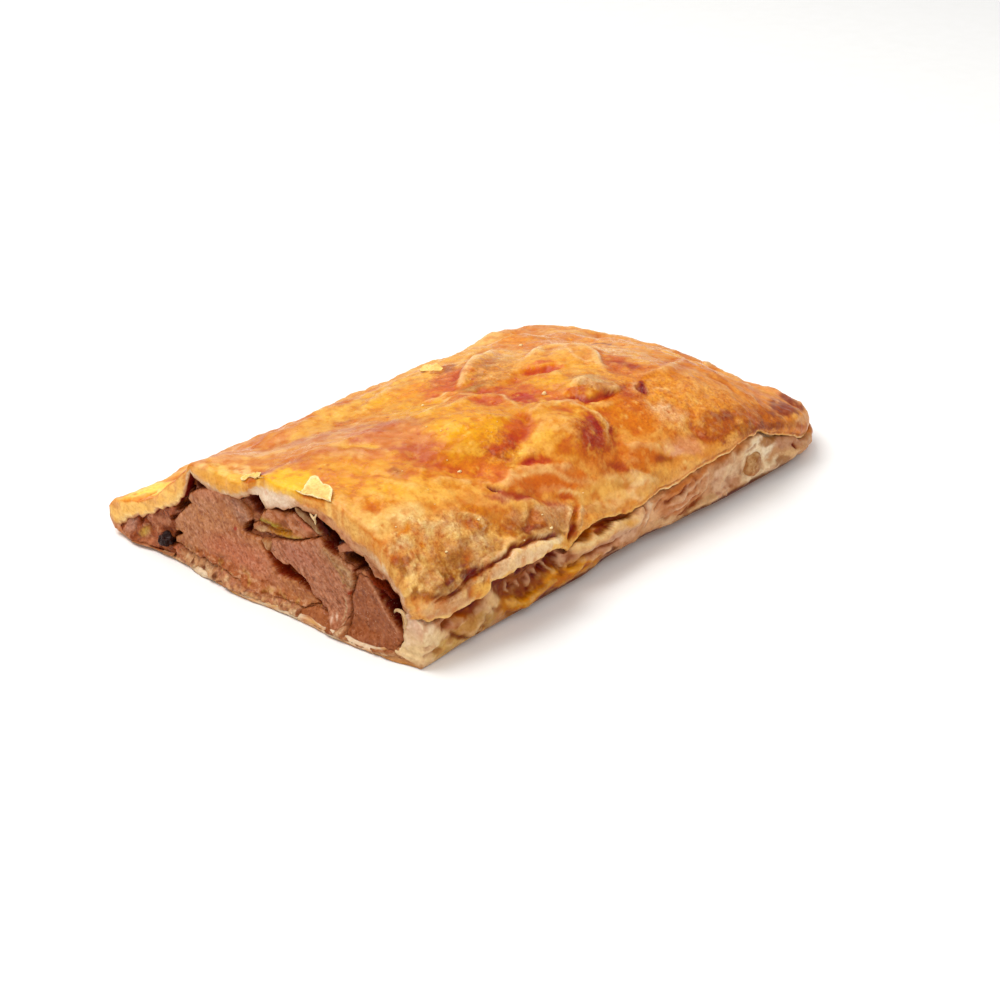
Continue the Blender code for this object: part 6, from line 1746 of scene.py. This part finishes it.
def wedge(name, outline, front, sides, seed, bulge=0.5, step=0.30, tilt=(0.0, 0.0), rim=1.1, strokes=None, rough_edge=0.35):
    """A cut piece of apple: a gently uneven face, a rounded rim and sides."""
    o = np.array(outline)
    ys = np.arange(o[:, 0].min() - 1.6, o[:, 0].max() + 1.6, step)
    zs = np.arange(max(0.4, o[:, 1].min() - 1.6), o[:, 1].max() + 1.6, step)
    Y, Z = np.meshgrid(ys, zs, indexing="ij")
    flat = np.stack([0.0 * Y, Y, Z], -1)
    wob = rough_edge * (fbm(flat, 3.4, 3, seed + 5) + 0.5 * fbm(flat, 1.5, 2, seed + 6))
    sd = inside(Y, Z, outline) + wob
    r = clamp(1.0 - sd / rim)
    edge = 0.9 * (1.0 - np.sqrt(np.maximum(0.0, 1.0 - np.minimum(r, 1.0) ** 2)))
    back = np.maximum(0.0, -sd) * 14.0
    cy, cz = o[:, 0].mean(), o[:, 1].mean()
    size = 0.5 * max(np.ptp(o[:, 0]), np.ptp(o[:, 1]))
    swell = bulge * (1.0 - clamp(((Y - cy) ** 2 + (Z - cz) ** 2) / size ** 2))
    face = front - swell + tilt[0] * (Y - cy) + tilt[1] * (Z - cz)
    face = face + 0.40 * fbm(flat, 8.0, 3, seed) + 0.12 * fbm(flat, 2.4, 2, seed + 1) + 0.03 * fbm(flat, 1.1, 2, seed + 2)
    face = face - 0.85 * apron(Y) * smooth(8.5, 0.8, Z)
    x = face + edge * 0.8 + np.minimum(back, sides)
    colour = np.broadcast_to(np.array([184.0, 117.0, 79.0]), flat.shape).copy()
    pix = pixel(np.stack([-SKEW * Y, Y, Z], -1))
    box = [colour]

    def coat(rgb_, mask, strength=1.0):
        m = clamp(mask * strength)[..., None]
        box[0] = box[0] * (1.0 - m) + np.asarray(rgb_, float) * m

    if strokes:
        x = strokes(coat, pix, flat, Y, Z, sd, x)
    # the sides running back into the filling are painted darker, and beside the hollows take the hollow's colour:
    # painted shade
    flank = smooth(0.25, -0.15, sd)
    coat((168, 92, 52), flank, 0.85)
    for hollow, depth, soft, shade in HOLLOWS:
        near_ = smooth(-1.6, 0.2, inside(Y, Z, mm(hollow)))
        coat(0.55 * np.asarray(shade, float) + np.array([70.0, 26.0, 8.0]), near_ * smooth(0.15, -0.1, sd), 1.0)
        coat(shade, near_ * smooth(-0.3, -0.7, sd), 1.0)
    keep = sd > -1.15
    quads = grid_quads(*Y.shape)
    quads = quads[keep.reshape(-1)[quads].all(1)]
    used, back_ix = np.unique(quads, return_inverse=True)
    pts = np.stack([-SKEW * Y + x, Y, Z], -1).reshape(-1, 3)[used]
    return mesh_object(name, pts, back_ix.reshape(-1, 4)), box[0].reshape(-1, 3)[used]


def brush(pix, points, width, taper=0.2):
    """Mask along a line in the picture, width in pixels."""
    d, t = track(pix[..., 0], pix[..., 1], points)
    ends = smooth(0.0, taper, t) * smooth(1.0, 1.0 - taper, t) if taper else 1.0
    return np.exp(-(d / width) ** 2) * (0.15 + 0.85 * ends)


def left_look(coat, pix, flat, Y, Z, sd, x):
    grain = fbm(flat, 3.0, 3, 611)
    small = fbm(flat, 1.1, 3, 613)
    coat((188, 122, 74), 1.0 + 0.0 * Y, 0.8)
    coat((206, 140, 98), smooth(0.0, 0.7, grain), 0.55)
    coat((160, 92, 54), smooth(0.0, 0.7, -grain), 0.55)
    coat((194, 130, 88), blob(pix, 200, 512, 34, 24, 30, 2), 0.6)
    coat((190, 124, 76), blob(pix, 209, 518, 16, 12, 20, 2), 0.5)
    coat((206, 128, 92), blob(pix, 262, 560, 16, 14, 50, 2), 0.6)
    coat((184, 122, 82), blob(pix, 190, 540, 14, 10, 20, 2), 0.5)
    coat((204, 132, 98), blob(pix, 206, 492, 18, 7, 10, 2), 0.6)
    coat((202, 114, 80), blob(pix, 232, 558, 34, 22, 30, 2), 0.7)
    coat((214, 134, 98), blob(pix, 262, 580, 30, 12, 34, 2), 0.6)
    coat((160, 112, 88), blob(pix, 241, 512, 7, 16, -30, 2), 0.75)
    coat((140, 86, 62), blob(pix, 233, 500, 12, 5, 36, 2), 0.5)
    coat((214, 150, 112), brush(pix, [(226, 498), (236, 508), (247, 515)], 1.0), 0.8)
    coat((220, 158, 122), brush(pix, [(244, 568), (256, 580), (268, 590)], 0.9), 0.6)
    coat((168, 92, 58), brush(pix, [(178, 545), (196, 552), (216, 562), (236, 575), (262, 590)], 4.0), 0.7)
    coat((150, 110, 60), brush(pix, [(180, 548), (190, 546), (200, 551)], 2.0), 0.7)
    coat((170, 40, 24), blob(pix, 236.5, 528, 1.6, 2.0, 0, 2), 0.8)
    coat((222, 160, 126), smooth(0.35, 0.8, small), 0.55)
    coat((140, 70, 40), smooth(0.35, 0.8, -small), 0.55)
    low = brush(pix, [(172, 548), (200, 553), (222, 562), (248, 577), (275, 592), (305, 604)], 7.0, 0.0)
    fib = fbm(np.stack([flat[..., 0], Y * 0.6, Z * 1.6], -1), 1.8, 3, 615, 0.65)
    coat((176, 104, 62), low, 0.6)
    coat((222, 170, 130), low * smooth(0.15, 0.6, fib), 0.8)
    coat((124, 62, 32), low * smooth(0.15, 0.6, -fib), 0.8)
    coat((190, 144, 70), low * smooth(0.3, 0.7, grain), 0.5)
    rough = np.maximum(blob(pix, 214, 566, 46, 12, 30, 2), low)
    return x - rough * (0.5 * fbm(flat, 2.4, 3, 617) + 0.2) + 0.5 * blob(pix, 240, 575, 20, 6, 40, 2) * fbm(flat, 1.8, 2, 619)


def middle_look(coat, pix, flat, Y, Z, sd, x):
    fib = fbm(np.stack([flat[..., 0], (Y + Z) * 0.7, (Z - Y) * 2.0], -1), 2.2, 3, 631)
    coat((192, 124, 90), 1.0 + 0.0 * Y, 0.9)
    coat((208, 148, 114), smooth(0.0, 0.8, fib), 0.6)
    coat((150, 88, 58), smooth(0.0, 0.8, -fib), 0.6)
    coat((172, 128, 84), brush(pix, [(322, 545), (334, 558), (347, 572), (350, 592)], 5.0, 0.1), 0.7)
    coat((208, 168, 122), brush(pix, [(340, 566), (349, 572), (350, 582)], 1.6, 0.1), 0.7)
    coat((160, 126, 72), brush(pix, [(330, 556), (340, 570), (346, 586)], 1.2, 0.1), 0.5)
    coat((190, 118, 92), blob(pix, 300, 556, 22, 10, 30, 2), 0.6)
    coat((206, 116, 60), brush(pix, [(291, 568), (300, 577), (308, 590)], 1.4), 0.8)
    coat((160, 34, 20), blob(pix, 349.5, 594, 2.0, 2.4, 0, 2), 0.9)
    coat((150, 60, 44), blob(pix, 345, 585, 1.6, 1.6, 0, 2), 0.7)
    grain = fbm(flat, 1.2, 3, 639, 0.65)
    coat((206, 150, 120), smooth(0.3, 0.8, grain), 0.5)
    coat((126, 70, 44), smooth(0.3, 0.8, -grain), 0.5)
    peel = brush(pix, [(351, 580), (352, 595), (351, 609), (348, 620), (343, 632)], 0.9, 0.05)
    coat((222, 188, 146), peel, 0.9)
    coat((206, 176, 130), brush(pix, [(345, 596), (346, 608), (344, 622)], 0.7, 0.2), 0.7)
    for pts in ([(333, 612), (336, 622)], [(336, 611), (340, 621)], [(331, 616), (336, 626)]):
        coat((236, 200, 170), brush(pix, pts, 0.8, 0.3), 0.85)
    return x - 0.30 * fib - 0.5 * peel + 0.4 * blob(pix, 345, 580, 6, 12, 0, 2) * fbm(flat, 1.2, 2, 637)


def right_look(coat, pix, flat, Y, Z, sd, x):
    grain = fbm(flat, 2.6, 3, 651)
    coat((162, 94, 60), 1.0 + 0.0 * Y, 0.9)
    coat((182, 116, 84), smooth(0.0, 0.8, grain), 0.5)
    coat((140, 80, 52), smooth(0.0, 0.8, -grain), 0.5)
    coat((160, 130, 92), blob(pix, 372, 652, 18, 8, 20, 2), 0.6)
    coat((206, 146, 112), brush(pix, [(362, 577), (371, 589), (379, 603), (389, 619), (398, 633)], 1.1, 0.05), 0.7)
    small = fbm(flat, 1.1, 3, 659, 0.65)
    coat((200, 136, 100), smooth(0.3, 0.8, small), 0.5)
    coat((120, 64, 36), smooth(0.3, 0.8, -small), 0.5)
    return x + 0.2 * fbm(flat, 1.6, 3, 657)


def slice_look(coat, pix, flat, Y, Z, sd, x):
    n = fbm(flat, 2.4, 3, 671)
    coat((184, 112, 70), 1.0 + 0.0 * Y, 1.0)
    coat((206, 140, 102), smooth(0.0, 0.7, n), 0.7)
    coat((138, 74, 38), smooth(0.0, 0.7, -n), 0.7)
    coat((196, 116, 84), blob(pix, 306, 524, 14, 6, 40, 2), 0.8)
    peel = brush(pix, [(256, 520), (264, 520.5), (272, 524), (279, 528)], 2.2, 0.1)
    peel2 = brush(pix, [(276, 534), (288, 537), (302, 540)], 2.4, 0.1)
    coat((160, 136, 50), peel, 0.95)
    coat((172, 138, 60), peel2, 0.9)
    coat((110, 96, 36), brush(pix, [(280, 538), (292, 541), (300, 542)], 1.2, 0.1), 0.7)
    coat((214, 170, 122), blob(pix, 260, 531, 8, 4, 10, 2), 0.85)
    coat((186, 120, 38), blob(pix, 279, 532, 13, 4.5, 14, 2), 0.8)
    coat((212, 150, 112), brush(pix, [(290, 527), (298, 530), (303, 536)], 1.8), 0.8)
    return x - 0.9 * peel - 0.7 * peel2 - 0.45 * n + 1.2 * brush(pix, [(258, 524), (268, 527), (276, 531), (290, 533)], 1.3, 0.1)


def mauve_look(coat, pix, flat, Y, Z, sd, x):
    n = fbm(flat, 2.0, 3, 691)
    coat((166, 98, 60), 1.0 + 0.0 * Y, 0.9)
    coat((186, 116, 76), smooth(0.0, 0.7, n), 0.6)
    for pts in ([(333, 612), (336, 622)], [(336, 611), (340, 621)], [(332, 617), (337, 626)]):
        coat((230, 196, 168), brush(pix, pts, 0.9, 0.3), 0.85)
    return x + 0.2 * n


def apple_material():
    """Baked apple: grainy flesh with pale and red-brown specks, wet in places."""
    n = Nodes("apple_flesh")
    tint = n.attribute("tint", True)
    times = lambda col, k: n.mix(1.0, col, (*k, 1.0), "MULTIPLY")
    grain, fine = n.noise(800.0, 2.0, 0.45), n.grains(1300.0)
    c = n.mix(n.remap(grain, 0.52, 0.66, 0.0, 0.5), tint, times(tint, (0.84, 0.70, 0.58)))
    c = n.mix(n.remap(grain, 0.47, 0.36, 0.0, 0.5), c, times(tint, (1.12, 1.15, 1.20)))
    c = n.mix(1.0, c, n.mix(fine, times(c, (0.84, 0.74, 0.66)), times(c, (1.14, 1.21, 1.28))))
    speck = n.cells(1500.0)
    pick = n.remap(n.noise(420.0, 2.0, 0.6), 0.52, 0.58, 0.0, 1.0)
    c = n.mix(n.math("MULTIPLY", n.remap(speck, 0.26, 0.10, 0.0, 0.7), pick), c, (0.66, 0.40, 0.26, 1.0))
    n.link(c, n.shader.inputs["Base Color"])
    n.link(n.remap(fine, 0.0, 1.0, 0.24, 0.5), n.shader.inputs["Roughness"])
    height = n.math("ADD", grain, n.math("MULTIPLY", n.noise(1300.0, 1.0, 0.5), 0.5))
    n.link(n.bump(height, 0.16, 0.0006), n.shader.inputs["Normal"])
    n.shader.inputs["Specular IOR Level"].default_value = 0.25
    n.shader.inputs["IOR"].default_value = 1.4
    n.shader.inputs["Subsurface Weight"].default_value = 0.06
    n.shader.inputs["Subsurface Radius"].default_value = (0.003, 0.0014, 0.0007)
    n.shader.inputs["Subsurface Scale"].default_value = 1.0
    return n.mat


apple_mat = apple_material()
for name, outline, front, sides, seed, look, nodes, slot_, opts in (
        ("apple_left", WEDGE_LEFT, 0.4, 11.0, 601, left_look, ("apple_wedge_left",), "apple", {"bulge": 0.7}),
        ("apple_middle", WEDGE_MIDDLE, 0.1, 10.0, 621, middle_look, ("apple_wedge_middle",), "apple", {"bulge": 0.5, "tilt": (0.0, -0.02)}),
        ("apple_right", WEDGE_RIGHT, 0.5, 10.0, 641, right_look, ("apple_wedge_right",), "apple", {"bulge": 0.3, "tilt": (0.02, 0.0)}),
        ("apple_slice", SLICE, 1.2, 9.0, 661, slice_look, ("apple_slice_green_peel",), "apple_peel", {"bulge": 0.6}),
        ("apple_small_mauve", MAUVE, 0.2, 7.0, 681, mauve_look, (), "apple", {"bulge": 0.2})):
    obj, colour = wedge(name, outline, front, sides, seed, strokes=look, **opts)
    n_pts = len(obj.data.vertices)
    dress(obj, colour, np.full(n_pts, 0.6), np.full(n_pts, 0.7), apple_mat, nodes, gain=1.17, haze=0.022)

# Raisin: a wrinkled, shiny ball
th, ph = np.meshgrid(np.linspace(0.0, math.pi, 60), np.linspace(0.0, 2.0 * math.pi, 96, endpoint=False), indexing="ij")
unit = np.stack([np.sin(th) * np.cos(ph), np.sin(th) * np.sin(ph), np.cos(th)], -1)
wrinkle = 1.0 + 0.22 * ridged(unit * 3.4, 2.0, 3, 703) + 0.16 * fbm(unit * 3.4, 3.4, 2, 705) - 0.16
rp = unit * np.array([3.0, 3.3, 3.0]) * wrinkle[..., None] + np.array([1.0 - SKEW * 117.6, 117.6, 5.5])
raisin = mesh_object("raisin", rp.reshape(-1, 3), grid_quads(60, 96, wrap=True))
n = Nodes("raisin")
skin = n.mix(n.remap(n.noise(520.0, 3.0), 0.3, 0.7, 0.0, 1.0), rgb(20, 6, 4), rgb(52, 18, 12))
n.link(skin, n.shader.inputs["Base Color"])
n.shader.inputs["Roughness"].default_value = 0.34
n.shader.inputs["Specular IOR Level"].default_value = 0.12
n.shader.inputs["Coat Weight"].default_value = 0.12
n.shader.inputs["Coat Roughness"].default_value = 0.08
n.link(n.bump(n.noise(1100.0, 3.0), 0.5, 0.0003), n.shader.inputs["Normal"])
raisin.data.materials.append(n.mat)
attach(raisin, "root")
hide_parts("raisin")

# Piece of apple that shows through the near side
th, ph = np.meshgrid(np.linspace(0.0, math.pi, 48), np.linspace(0.0, 2.0 * math.pi, 72, endpoint=False), indexing="ij")
unit = np.stack([np.sin(th) * np.cos(ph), np.sin(th) * np.sin(ph), np.cos(th)], -1)
tilt = math.radians(28.0)
body = unit * np.array([5.3, 3.5, 5.8]) * (1.0 + 0.05 * fbm(unit * 4.0, 3.0, 2, 713))[..., None]
turn = np.array([[math.cos(tilt), 0, math.sin(tilt)], [0, 1, 0], [-math.sin(tilt), 0, math.cos(tilt)]])
lp = body @ turn.T + np.array([166.4, 0.1, 9.4])
lump = mesh_object("apple_lump", lp.reshape(-1, 3), grid_quads(48, 72, wrap=True))
spots = fbm(lp, 3.0, 3, 717)
lump_col = np.array([196.0, 152.0, 104.0]) + (np.array([168.0, 112.0, 68.0]) - np.array([196.0, 152.0, 104.0])) * smooth(-0.2, 0.7, spots)[..., None]
low = smooth(9.0, 5.0, lp[..., 2])[..., None]
lump_col = lump_col * (1.0 - 0.5 * low) + np.array([190.0, 96.0, 50.0]) * 0.5 * low
dress(lump, lump_col, np.full(lp.shape[:2], 0.5), np.full(lp.shape[:2], 0.4), apple_mat, ("apple_piece_side",))

# ---------------------------------------------------------------------------
# Loose flakes, strands and crumbs on the pastry and at the cut
# ---------------------------------------------------------------------------
def on_skin(px, py, up=0.0):
    """A place on the finished crust, raised by some mm."""
    near = C.tree.find_n((px, py, 0.0), 4)
    w = np.array([1.0 / (d + 0.05) for _, _, d in near])
    w /= w.sum()
    k = [i for _, i, _ in near]
    return (SKIN[k] * w[:, None]).sum(0) + up * (C.out[k] * w[:, None]).sum(0)


def shell(name, P, thick, colour, material, gloss_=0.5, grit_=0.5, gain=1.06):
    """A thin closed sheet over a grid of points, of even thickness."""
    rows_, cols_ = P.shape[:2]
    N = grid_normals(P)
    if N[..., 2].mean() < 0.0:
        P, N = P[:, ::-1], -N[:, ::-1]
        if np.ndim(colour) > 1:
            colour = np.asarray(colour)[:, ::-1]
    half = 0.5 * thick * np.ones((rows_, cols_))
    top, low = P + N * half[..., None], P - N * half[..., None]
    verts = np.concatenate([top.reshape(-1, 3), low.reshape(-1, 3)])
    n_ = rows_ * cols_
    quads = [grid_quads(rows_, cols_), grid_quads(rows_, cols_, flip=True, start=n_)]
    ring_ = [i * cols_ for i in range(rows_)] + [(rows_ - 1) * cols_ + j for j in range(1, cols_)]
    ring_ += [i * cols_ + cols_ - 1 for i in range(rows_ - 2, -1, -1)] + [j for j in range(cols_ - 2, 0, -1)]
    a = np.array(ring_)
    b = np.roll(a, -1)
    quads.append(np.stack([b, a, a + n_, b + n_], -1))
    obj = mesh_object(name, verts, np.concatenate(quads))
    colour = np.broadcast_to(np.asarray(colour, float), (rows_, cols_, 3)).reshape(-1, 3)
    # the underside is painted a tenth darker: painted shade
    dress(obj, np.concatenate([colour, colour * 0.9]), np.full(2 * n_, gloss_), np.full(2 * n_, grit_), material, None, gain=gain)
    return obj


def leaf(name, outline, up, curl, thick, colour, rim_colour, material, seed):
    """A flat flake with a traced outline, lying on the crust and curling up."""
    o = np.array(outline, float)
    centre = o.mean(0)
    loop = np.vstack([o, o[:1]])
    seg = np.concatenate([[0.0], np.cumsum(np.sqrt(((loop[1:] - loop[:-1]) ** 2).sum(1)))])
    t = np.linspace(0.0, seg[-1], 61)
    edge = np.stack([np.interp(t, seg, loop[:, 0]), np.interp(t, seg, loop[:, 1])], -1)
    r = np.linspace(0.01, 1.0, 12)
    P = np.zeros((12, 61, 3))
    col = np.zeros((12, 61, 3))
    for i, ri in enumerate(r):
        for j in range(61):
            x_, y_ = centre + ri * (edge[j] - centre)
            P[i, j] = on_skin(x_, y_ + 3.2 * (up + curl * ri ** 2), up + curl * ri ** 2)
    bumpy = fbm(P, 3.0, 3, seed)
    P[..., 2] += 0.3 * bumpy
    shade = clamp(0.5 + 0.6 * bumpy)[..., None]
    col = np.asarray(colour, float) * (1.0 - 0.12 * shade)
    rim_mask = smooth(0.75, 1.0, r)[:, None, None]
    col = col * (1.0 - rim_mask) + np.asarray(rim_colour, float) * rim_mask
    return shell(name, P, thick, col, material, 0.45, 0.25, gain=0.9)


def strand(name, centre_line, radius, colour, material, gain=1.2, sides=8):
    """A tapered thread along a line of points in mm."""
    pts = np.array(centre_line, float)
    tangent = np.gradient(pts, axis=0)
    tangent /= np.linalg.norm(tangent, axis=1, keepdims=True)
    up = np.cross(tangent, np.array([1.0, 0.2, 0.1]))
    up /= np.linalg.norm(up, axis=1, keepdims=True)
    side = np.cross(tangent, up)
    t = np.linspace(0.0, 1.0, len(pts))
    r = radius * (0.25 + 0.75 * np.sin(np.pi * np.clip(t, 0.0, 1.0)) ** 0.5)
    a = np.linspace(0.0, 2.0 * math.pi, sides, endpoint=False)
    ring_ = pts[:, None] + r[:, None, None] * (np.cos(a)[None, :, None] * up[:, None] + np.sin(a)[None, :, None] * side[:, None])
    verts = np.concatenate([ring_.reshape(-1, 3), pts[:1], pts[-1:]])
    n_ = len(pts) * sides
    quads = grid_quads(len(pts), sides, wrap=True)
    j = np.arange(sides)
    tris = np.concatenate([np.stack([n_ + 0 * j, j, (j + 1) % sides], -1),
                           np.stack([n_ + 1 + 0 * j, n_ - sides + (j + 1) % sides, n_ - sides + j], -1)])
    obj = mesh_object(name, verts, quads, tris)
    dress(obj, np.broadcast_to(np.asarray(colour, float), (len(verts), 3)), np.full(len(verts), 0.5), np.full(len(verts), 0.4), material, None,
          gain=gain)
    return obj


def cut_line(points, front, steps=24):
    """A smooth line in front of the cut, from picture points."""
    flat_ = np.array(mm(points))
    t = np.linspace(0.0, len(points) - 1.0, steps)
    y_, z_ = np.interp(t, range(len(points)), flat_[:, 0]), np.interp(t, range(len(points)), flat_[:, 1])
    k_ = np.array([0.25, 0.5, 0.25])
    for _ in range(3):
        y_[1:-1], z_[1:-1] = np.convolve(y_, k_, "valid"), np.convolve(z_, k_, "valid")
    f_ = np.interp(t, np.linspace(0, len(points) - 1.0, len(front)), front)
    return np.stack([f_ - SKEW * y_, y_, z_], -1)


seen_idx = np.flatnonzero((C.seen > 0.3).ravel())
SKIN = G.reshape(-1, 3)[seen_idx[:: max(1, len(seen_idx) // 30000)]]
crust_mat = crust.data.materials[0]
leaf("flake_on_top", [(293.6, 490.4), (304, 487.5), (307, 482), (310.8, 477.2), (315, 475.6), (318.9, 476.6), (321, 481), (323.5, 484.1), (330.4, 487.5),
                      (332.9, 491), (332.7, 494.4), (331.5, 500), (330.4, 502.5), (326, 504), (321.2, 503.6), (309.7, 499.6), (300.5, 494.4)],
     0.5, 0.6, 0.4, (255, 204, 122), (255, 220, 164), crust_mat, 901)
leaf("flake_beside_it", [(241, 478), (247, 475), (254, 473.6), (262, 473), (258, 477), (263, 479.4), (252, 481), (246, 482)],
     0.3, 0.4, 0.3, (255, 198, 106), (255, 214, 150), crust_mat, 903)
# a torn flake standing up on the far edge of the top
stand_at = on_skin(433, 371, 0.2)
t_, r_ = np.linspace(0.0, 1.0, 25)[:, None], np.linspace(0.0, 1.0, 7)[None, :]
top_line = np.interp(t_, [0.0, 0.15, 0.35, 0.55, 0.75, 0.9, 1.0], [0.6, 1.9, 2.6, 2.2, 3.1, 1.6, 0.5]) + 0.0 * r_
P_ = (stand_at + (t_ - 0.5)[..., None] * 9.0 * RIGHT + (r_ * top_line)[..., None] * (-0.55 * DOWN + 0.8 * np.array([0.35, 0.9, 0.2]))
      + (0.5 * np.sin(9.0 * t_) * r_)[..., None] * AHEAD + np.array([0.0, 0.0, -0.5]))
shell("flake_far_edge", P_, 0.35, (250, 204, 120), crust_mat, 0.4, 0.3, gain=0.95)
strand("strand_in_cut", cut_line([(310.8, 513), (314, 516), (317, 519), (316.6, 524)], [-0.4, -0.9, -0.5], 18), 0.42, (240, 206, 158), dough_mat)
strand("strand_fork", cut_line([(317.6, 513.4), (316.6, 517), (316, 520)], [-0.4, -0.8, -0.9], 12), 0.36, (240, 206, 158), dough_mat)
strand("curl_in_gap", cut_line([(391, 614), (394, 611), (398, 610), (402, 611), (405.4, 614), (407, 619), (406.6, 625), (404.6, 631)],
                               [1.5, -0.2, -0.5, 0.0], 30), 0.62, (226, 190, 142), dough_mat)
strand("curl_tail", cut_line([(400, 612), (403, 617), (404, 623), (402, 629)], [0.4, 0.2, 0.6], 18), 0.5, (206, 156, 104), dough_mat)


def ragged_look(tone, dark_tone, seed_):
    def look(coat, pix, flat, Y, Z, sd, x):
        n_ = fbm(flat, 1.8, 3, seed_, 0.65)
        coat(tone, 1.0 + 0.0 * Y, 0.9)
        coat(dark_tone, smooth(0.0, 0.6, n_), 0.7)
        return x - 0.3 * n_
    return look


for name, outline, front, tone, dark_tone, seed_ in (
        ("dough_hanging", [(361, 552), (368, 556.6), (377, 562), (385, 566.6), (390, 571), (391, 577), (387, 579.4), (382.6, 581), (379, 578), (374, 576),
                           (371, 570), (368, 563.4), (364, 558)], 0.1, (176, 112, 78), (206, 150, 112), 911),
        ("dough_tip_left", [(262, 539), (267, 540), (272.5, 541), (271, 546), (269, 551.4), (266, 547), (264, 543)], -0.3, (214, 164, 116), (176, 116, 74), 913),
        ("dough_tip_right", [(338, 546), (344, 544), (352, 545), (358, 549), (353, 552), (346, 551), (341, 553)], -0.1, (190, 124, 92), (226, 180, 148), 915),
        ("peel_film", [(294, 507), (300, 511), (308, 518), (315, 526), (320, 533), (322, 537), (318, 536), (311, 529), (303, 521), (296, 513)], 0.2,
         (158, 116, 80), (192, 158, 120), 917)):
    obj, colour = wedge(name, traced(outline), front, 1.6, seed_, bulge=0.1, rim=0.5, strokes=ragged_look(tone, dark_tone, seed_), rough_edge=0.25)
    n_pts = len(obj.data.vertices)
    dress(obj, colour, np.full(n_pts, 0.5), np.full(n_pts, 0.6), dough_mat, None, gain=1.3)

# crumbs: a few pale ones that the picture shows, and fine ones scattered
rng = np.random.default_rng(7)
spots_px = [(544, 394, 0.85), (460, 470, 0.55), (521, 347, 0.7), (423, 408, 0.5), (478, 520, 0.4), (549, 530, 0.5), (446, 552, 0.4), (540, 516, 0.3)]
for _ in range(14):
    spots_px.append((rng.uniform(395, 600), rng.uniform(380, 560), rng.uniform(0.16, 0.30)))
th, ph = np.meshgrid(np.linspace(0.0, math.pi, 7), np.linspace(0.0, 2.0 * math.pi, 10, endpoint=False), indexing="ij")
ball = np.stack([np.sin(th) * np.cos(ph), np.sin(th) * np.sin(ph), np.cos(th)], -1)
all_v, all_q = [], []
for k_, (x_, y_, r_) in enumerate(spots_px):
    centre = on_skin(x_, y_, 0.35 * r_)
    lumpy = 1.0 + 0.35 * fbm(ball * 3.0 + 11.0 * k_, 2.0, 2, 921)
    all_v.append((ball * np.array([1.3, 0.9, 0.7]) * r_ * lumpy[..., None] + centre).reshape(-1, 3))
    all_q.append(grid_quads(7, 10, wrap=True) + 70 * k_)
crumbs = mesh_object("crumbs", np.concatenate(all_v), np.concatenate(all_q))
n_pts = 70 * len(spots_px)
dress(crumbs, np.broadcast_to(np.array([255.0, 226.0, 170.0]), (n_pts, 3)), np.full(n_pts, 0.3), np.full(n_pts, 0.3), dough_mat, None, gain=1.1)

# ---------------------------------------------------------------------------
# Stage, camera and light
# ---------------------------------------------------------------------------
camera = bpy.data.cameras.new("camera")
camera.sensor_width = 36.0
camera.lens = FOCAL * 36.0 / 1000.0
camera.clip_start, camera.clip_end = 0.05, 20.0
cam = bpy.data.objects.new("camera", camera)
view = Matrix.Identity(4)
place = to_frame(CAM)
for i in range(3):
    view[i][0], view[i][1], view[i][2], view[i][3] = RIGHT[i], -DOWN[i], -AHEAD[i], place[i]
cam.matrix_world = view
bpy.context.scene.collection.objects.link(cam)
bpy.context.scene.camera = cam

floor_mesh = bpy.data.meshes.new("floor")
bm = bmesh.new()
bmesh.ops.create_grid(bm, x_segments=1, y_segments=1, size=3.0)
bm.to_mesh(floor_mesh)
bm.free()
floor = bpy.data.objects.new("floor", floor_mesh)
floor.location = (0.0, 0.0, -0.0003)
bpy.context.scene.collection.objects.link(floor)
plain = Nodes("floor")
grain = plain.noise(90.0, 3.0, 0.5)
plain.link(plain.mix(grain, rgb(244, 243, 240), rgb(249, 248, 246)), plain.shader.inputs["Base Color"])
plain.shader.inputs["Roughness"].default_value = 0.6
floor.data.materials.append(plain.mat)

world = bpy.data.worlds.new("studio")
bpy.context.scene.world = world
world.use_nodes = True
world.node_tree.nodes["Background"].inputs["Color"].default_value = (1.0, 1.0, 1.0, 1.0)
world.node_tree.nodes["Background"].inputs["Strength"].default_value = 0.52


def area(name, location, target, size, power, colour=(1, 1, 1)):
    light = bpy.data.lights.new(name, "AREA")
    light.shape = "RECTANGLE"
    light.size, light.size_y = size
    light.energy = power
    light.color = colour
    obj = bpy.data.objects.new(name, light)
    obj.location = location
    d = Vector(target) - Vector(location)
    obj.rotation_euler = d.to_track_quat("-Z", "Y").to_euler()
    bpy.context.scene.collection.objects.link(obj)
    return obj


area("key", (-0.42, 0.38, 1.28), (0, 0, 0.02), (0.8, 0.8), 12.6)
area("back", (0.30, 0.95, 1.10), (0, 0, 0.02), (1.2, 0.5), 5.0)
area("fill", (-0.35, -0.95, 0.95), (0, 0, 0.02), (1.2, 1.0), 5.8)
bpy.context.scene.view_settings.view_transform = "Standard"
